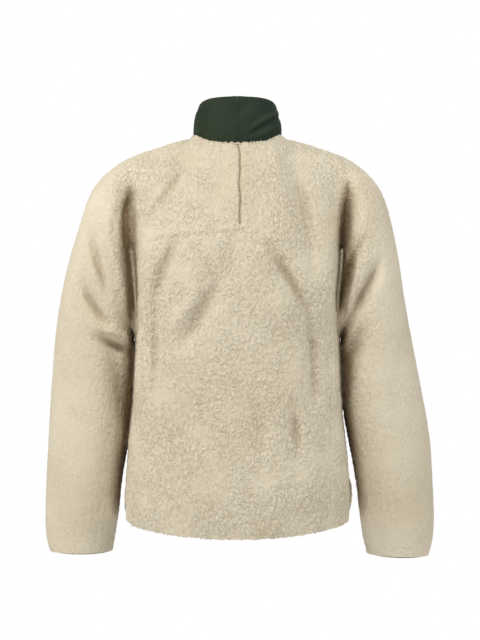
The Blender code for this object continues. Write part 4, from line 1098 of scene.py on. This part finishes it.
def tube(line, radius, sides, finish, name):
    """A closed tube along a line."""
    line = np.asarray(line)
    run = np.gradient(line, axis=0)
    run /= np.linalg.norm(run, axis=1)[:, None]
    side = np.cross(run, (0.0, 0.0, 1.0))
    side /= np.linalg.norm(side, axis=1)[:, None]
    up = np.cross(side, run)
    turns = np.linspace(0, 2 * math.pi, sides, endpoint=False)[None, :, None]
    rings = line[:, None] + radius * (side[:, None] * np.cos(turns) + up[:, None] * np.sin(turns))
    faces = []
    for ring in range(len(line) - 1):
        for step in range(sides):
            after = (step + 1) % sides
            faces.append((ring * sides + step, (ring + 1) * sides + step,
                          (ring + 1) * sides + after, ring * sides + after))
    faces.append(tuple(range(sides)))
    faces.append(tuple(len(line) * sides - 1 - step for step in range(sides)))
    mesh = mesh_of(name, rings.reshape(-1, 3), faces, finish, WOVEN_TURN)
    whole = bmesh.new()
    whole.from_mesh(mesh)
    bmesh.ops.recalc_face_normals(whole, faces=whole.faces)
    whole.to_mesh(mesh)
    whole.free()
    return mesh


collar_lines = {}
for side in ("left", "right"):
    node = "collar_" + side
    points, normals, quads = rounded_copy(node, 3)
    outer_top, inner_top = top_of_collar(node)
    roll = smooth_line((outer_top + inner_top) / 2, COLLAR_STEPS)
    away = points * (1, 1, 0)
    away /= np.linalg.norm(away, axis=1)[:, None]
    near_roll = nearest_of(roll)
    below = np.array([near_roll.find(point)[2] for point in points])
    sink = crease_depth(points, away, COLLAR_CREASES)[0]
    sink += STITCH_DIP * np.exp(-(((below - STITCH_BELOW) / STITCH_DIP_REACH) ** 2))
    sink += CENTRE_DIP * np.exp(-((points[:, 0] / CENTRE_DIP_REACH) ** 2)) * (points[:, 1] > 0)
    turn, z = np.arctan2(points[:, 0], points[:, 1]), points[:, 2]
    round_wave = np.sin(turn * RIPPLE_ROUND[0] + z * RIPPLE_UP[0])
    sink += RIPPLE * round_wave * np.sin(z * RIPPLE_UP[1] + turn * RIPPLE_ROUND[1])
    points = points - away * sink[:, None]
    middle = (np.abs(points[:, 0]) < CENTRE_HALF) & (points[:, 1] > 0)
    points[middle, 0] = CENTRE_GAP if side == "left" else -CENTRE_GAP
    mesh = mesh_of(node + "_woven", points, quads, woven_finish, WOVEN_TURN)
    # Painted highlight: the collar's ridges and the band along its top are painted lighter.
    ridge = np.clip(-sink / RIDGE_HIGH, 0, RIDGE_HIGHLIGHT)
    mark(mesh, "worn", ridge + TOP_HIGHLIGHT * np.exp(-((below / TOP_HIGHLIGHT_REACH) ** 2)))
    piece = put(node + "_woven", mesh)
    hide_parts(node)
    cloth = BVHTree.FromPolygons(points.tolist(), quads.tolist())
    collar_lines[side] = (roll, [
        cloth.find_nearest(Vector(point) * STITCH_REACH - Vector((0, 0, STITCH_BELOW)))[:2]
        for point in smooth_line(outer_top, COLLAR_STEPS)[STITCH_ENDS:-STITCH_ENDS]])

roll_line = np.vstack((collar_lines["left"][0][:0:-1], collar_lines["right"][0][1:])) + (0, 0, ROLL_LIFT)
roll_mesh = tube(roll_line, ROLL_RADIUS, 8, woven_finish, "collar_roll")
# Painted highlight along the whole roll.
mark(roll_mesh, "worn", ROLL_HIGHLIGHT)
rolled = put("collar_roll", roll_mesh)
collar_points = [vert.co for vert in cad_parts["collar_left"].data.vertices]
back_wall = [place for place in collar_points if place.y > 0 and abs(place.x) < CENTRE_HALF]
back_wall = np.array(sorted(back_wall, key=lambda place: place[2]))
tape_line = [back_wall[n:n + 2].mean(axis=0) * (0, 1, 1) for n in range(0, len(back_wall) - 1, 2)]
tape_mesh = tube(smooth_line(tape_line, TAPE_STEPS)[1:-1], SEAM_TAPE, 6, woven_finish, "collar_seam_tape")
mark(tape_mesh, "worn", 0.0)
taped = put("collar_seam_tape", tape_mesh)

# The bindings inside the hem and the cuffs, and the tapes of the zips: narrow strips of the same
# nylon, sewn on flat and a little crumpled. The pocket zips are narrow and have no flat size or area in the
# table.
CRUMPLE = 0.00012
CRUMPLE_WAVES = (420, 310, 380)
for node, flat, area in (
    ("hem_binding", (1.120, 0.012), 0.0130), ("cuff_binding_left", (0.330, 0.014), 0.0044),
    ("cuff_binding_right", (0.325, 0.014), 0.0044), ("zip_tape_left", (0.745, 0.026), 0.0190),
    ("zip_tape_right", (0.745, 0.026), 0.0190), ("pocket_zip_left", None, None),
    ("pocket_zip_right", None, None),
):
    points, normals, quads = rounded_copy(node, 2)
    x, y, z = points.T
    wave = CRUMPLE * np.sin(x * CRUMPLE_WAVES[0] + z * CRUMPLE_WAVES[1]) * np.sin(y * CRUMPLE_WAVES[2])
    mesh = mesh_of(node + "_woven", points + normals * wave[:, None], quads, woven_finish, WOVEN_TURN)
    mark(mesh, "worn", 0.0)
    piece = put(node + "_woven", mesh)
    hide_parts(node)


# The front zip: moulded black teeth in two rows that mesh, a bottom box, and a slider with its
# stops and hanging pull tab in dull nickel. The teeth are set along the line of the solid chain.
TOOTH = (0.0034, 0.0021, 0.0013)
TOOTH_PITCH = 0.0013
TOOTH_STEP = 0.0009
TOOTH_BEVEL = 0.0003
CHAIN_STEP = 0.00003
CHAIN_FINER = 4
NICKEL_ROUGH = 0.25
NICKEL_SCUFF = 0.2


def speckled(name, scale, detail, dark, light, **constants):
    """A finish with fine speckles from dark to light: its tree, its surface shader and the material."""
    build, shader, material = finish_of(name, **constants)
    grain = build.noise(build.value("ShaderNodeTexCoord", "Object"), scale, detail)
    build.feed(build.mixed(grain, dark, light), shader, "Base Color")
    return build, shader, material


teeth_finish = speckled(
    "black_plastic", scale=300.0, detail=2.0, dark=(0.012, 0.013, 0.012, 1), light=(0.045, 0.047, 0.043, 1),
    Roughness=0.38, Specular_IOR_Level=0.5)[2]
build, shader, metal_finish = speckled(
    "dull_nickel", scale=160.0, detail=2.0, dark=(0.27, 0.26, 0.24, 1), light=(0.50, 0.49, 0.46, 1),
    Roughness=0.33, Metallic=1.0)
scuffs = build.noise(build.value("ShaderNodeTexCoord", "Object"), scale=900.0, detail=2.0)
build.feed(scuffs * NICKEL_SCUFF + NICKEL_ROUGH, shader, "Roughness")

# A row of like things along a line, each turned along it and stepped to one side and the other: the
# teeth here, and the collar's stitches after them.
build, given, beads, thing = line_tree("row", (("Pitch", 0.002), ("Side Step", 0.0)))
number = build.value("GeometryNodeInputIndex", 0)
odd = build.value("ShaderNodeMath", 0, {"operation": "MODULO"}, _0=number, _1=2.0)
aside = build.value("ShaderNodeCombineXYZ", 0, x=(odd * 2 - 1) * given["Side Step"], y=0.0, z=0.0)
placed = build.value("GeometryNodeSetPosition", 0, geometry=beads, offset=aside)
along = build.value("GeometryNodeInputTangent", 0)
turned = build.value("FunctionNodeAlignRotationToVector", 0, {"axis": "Z"}, vector=along)
things = build.value("GeometryNodeInstanceOnPoints", 0, points=placed, instance=thing, rotation=turned)
row_tree = close_tree(build, things, given["Finish"])


def line_mesh(points):
    """A line of edges through points."""
    mesh = bpy.data.meshes.new("line")
    mesh.from_pydata(np.asarray(points).tolist(), [(n, n + 1) for n in range(len(points) - 1)], [])
    return mesh


def small_block(name, size, bevel):
    """A little block with its edges taken off, kept only while a row is made of it."""
    block = bmesh.new()
    bmesh.ops.create_cube(block, size=1.0)
    for vert in block.verts:
        vert.co = Vector(part * length for part, length in zip(vert.co, size))
    bmesh.ops.bevel(block, geom=block.edges, offset=bevel, segments=1, affect="EDGES")
    mesh = bpy.data.meshes.new(name)
    block.to_mesh(mesh)
    block.free()
    return in_scene(bpy.data.objects.new(name, mesh))


chain = np.array([vert.co[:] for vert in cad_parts["zip_chain"].data.vertices])
heights = np.unique(np.round(chain[:, 2], 5))
path = [(0.0, chain[np.abs(chain[:, 2] - height) < CHAIN_STEP, 1].mean(), height) for height in heights]
tooth = small_block("tooth", TOOTH, TOOTH_BEVEL)
piece = put("zip_teeth", raised(
    "zip_teeth", line_mesh(smooth_line(path, CHAIN_FINER)), row_tree,
    pitch=TOOTH_PITCH, side_step=TOOTH_STEP, thing=tooth, finish=teeth_finish))
bpy.data.objects.remove(tooth)
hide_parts("zip_chain")
for node in ("zip_bottom_box", "zip_slider", "zip_stop_left", "zip_stop_right", "zip_pull_tab"):
    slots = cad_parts[node].data.materials
    slots.clear()
    slots.append(teeth_finish if node == "zip_bottom_box" else metal_finish)

# The thread: one row of stitches a little below the roll of the collar, round both halves, in a
# lighter green than the nylon that they hold.
STITCH = (0.0005, 0.0005, 0.0021)
STITCH_BEVEL = 0.00014
STITCH_PITCH = 0.0029
STITCH_PROUD = 0.0001
stitch = small_block("stitch", STITCH, STITCH_BEVEL)
thread_finish = speckled(
    "green_thread", scale=2500.0, detail=1.0, dark=(0.030, 0.045, 0.026, 1), light=(0.085, 0.11, 0.075, 1),
    Roughness=0.55, Specular_IOR_Level=0.3)[2]
for side in ("left", "right"):
    name = "collar_stitches_" + side
    line = line_mesh([(place + way * STITCH_PROUD)[:] for place, way in collar_lines[side][1]])
    piece = put(name, raised(
        name, line, row_tree, pitch=STITCH_PITCH, side_step=0.0, thing=stitch, finish=thread_finish))
bpy.data.objects.remove(stitch)

# The floor: a plain pale disc well below the jacket, which hangs clear of it. It belongs to the
# studio and isn't part of the jacket.
FLOOR_LOW = -1.45
FLOOR_REACH = 2.6
FLOOR_SIDES = 96
turns = np.linspace(0, 2 * math.pi, FLOOR_SIDES, endpoint=False)
floor_ring = [(FLOOR_REACH * math.cos(turn), FLOOR_REACH * math.sin(turn), FLOOR_LOW) for turn in turns]
floor_mesh = bpy.data.meshes.new("floor")
floor_mesh.from_pydata(floor_ring, [], [range(FLOOR_SIDES)])
floor = in_scene(bpy.data.objects.new("floor", floor_mesh))
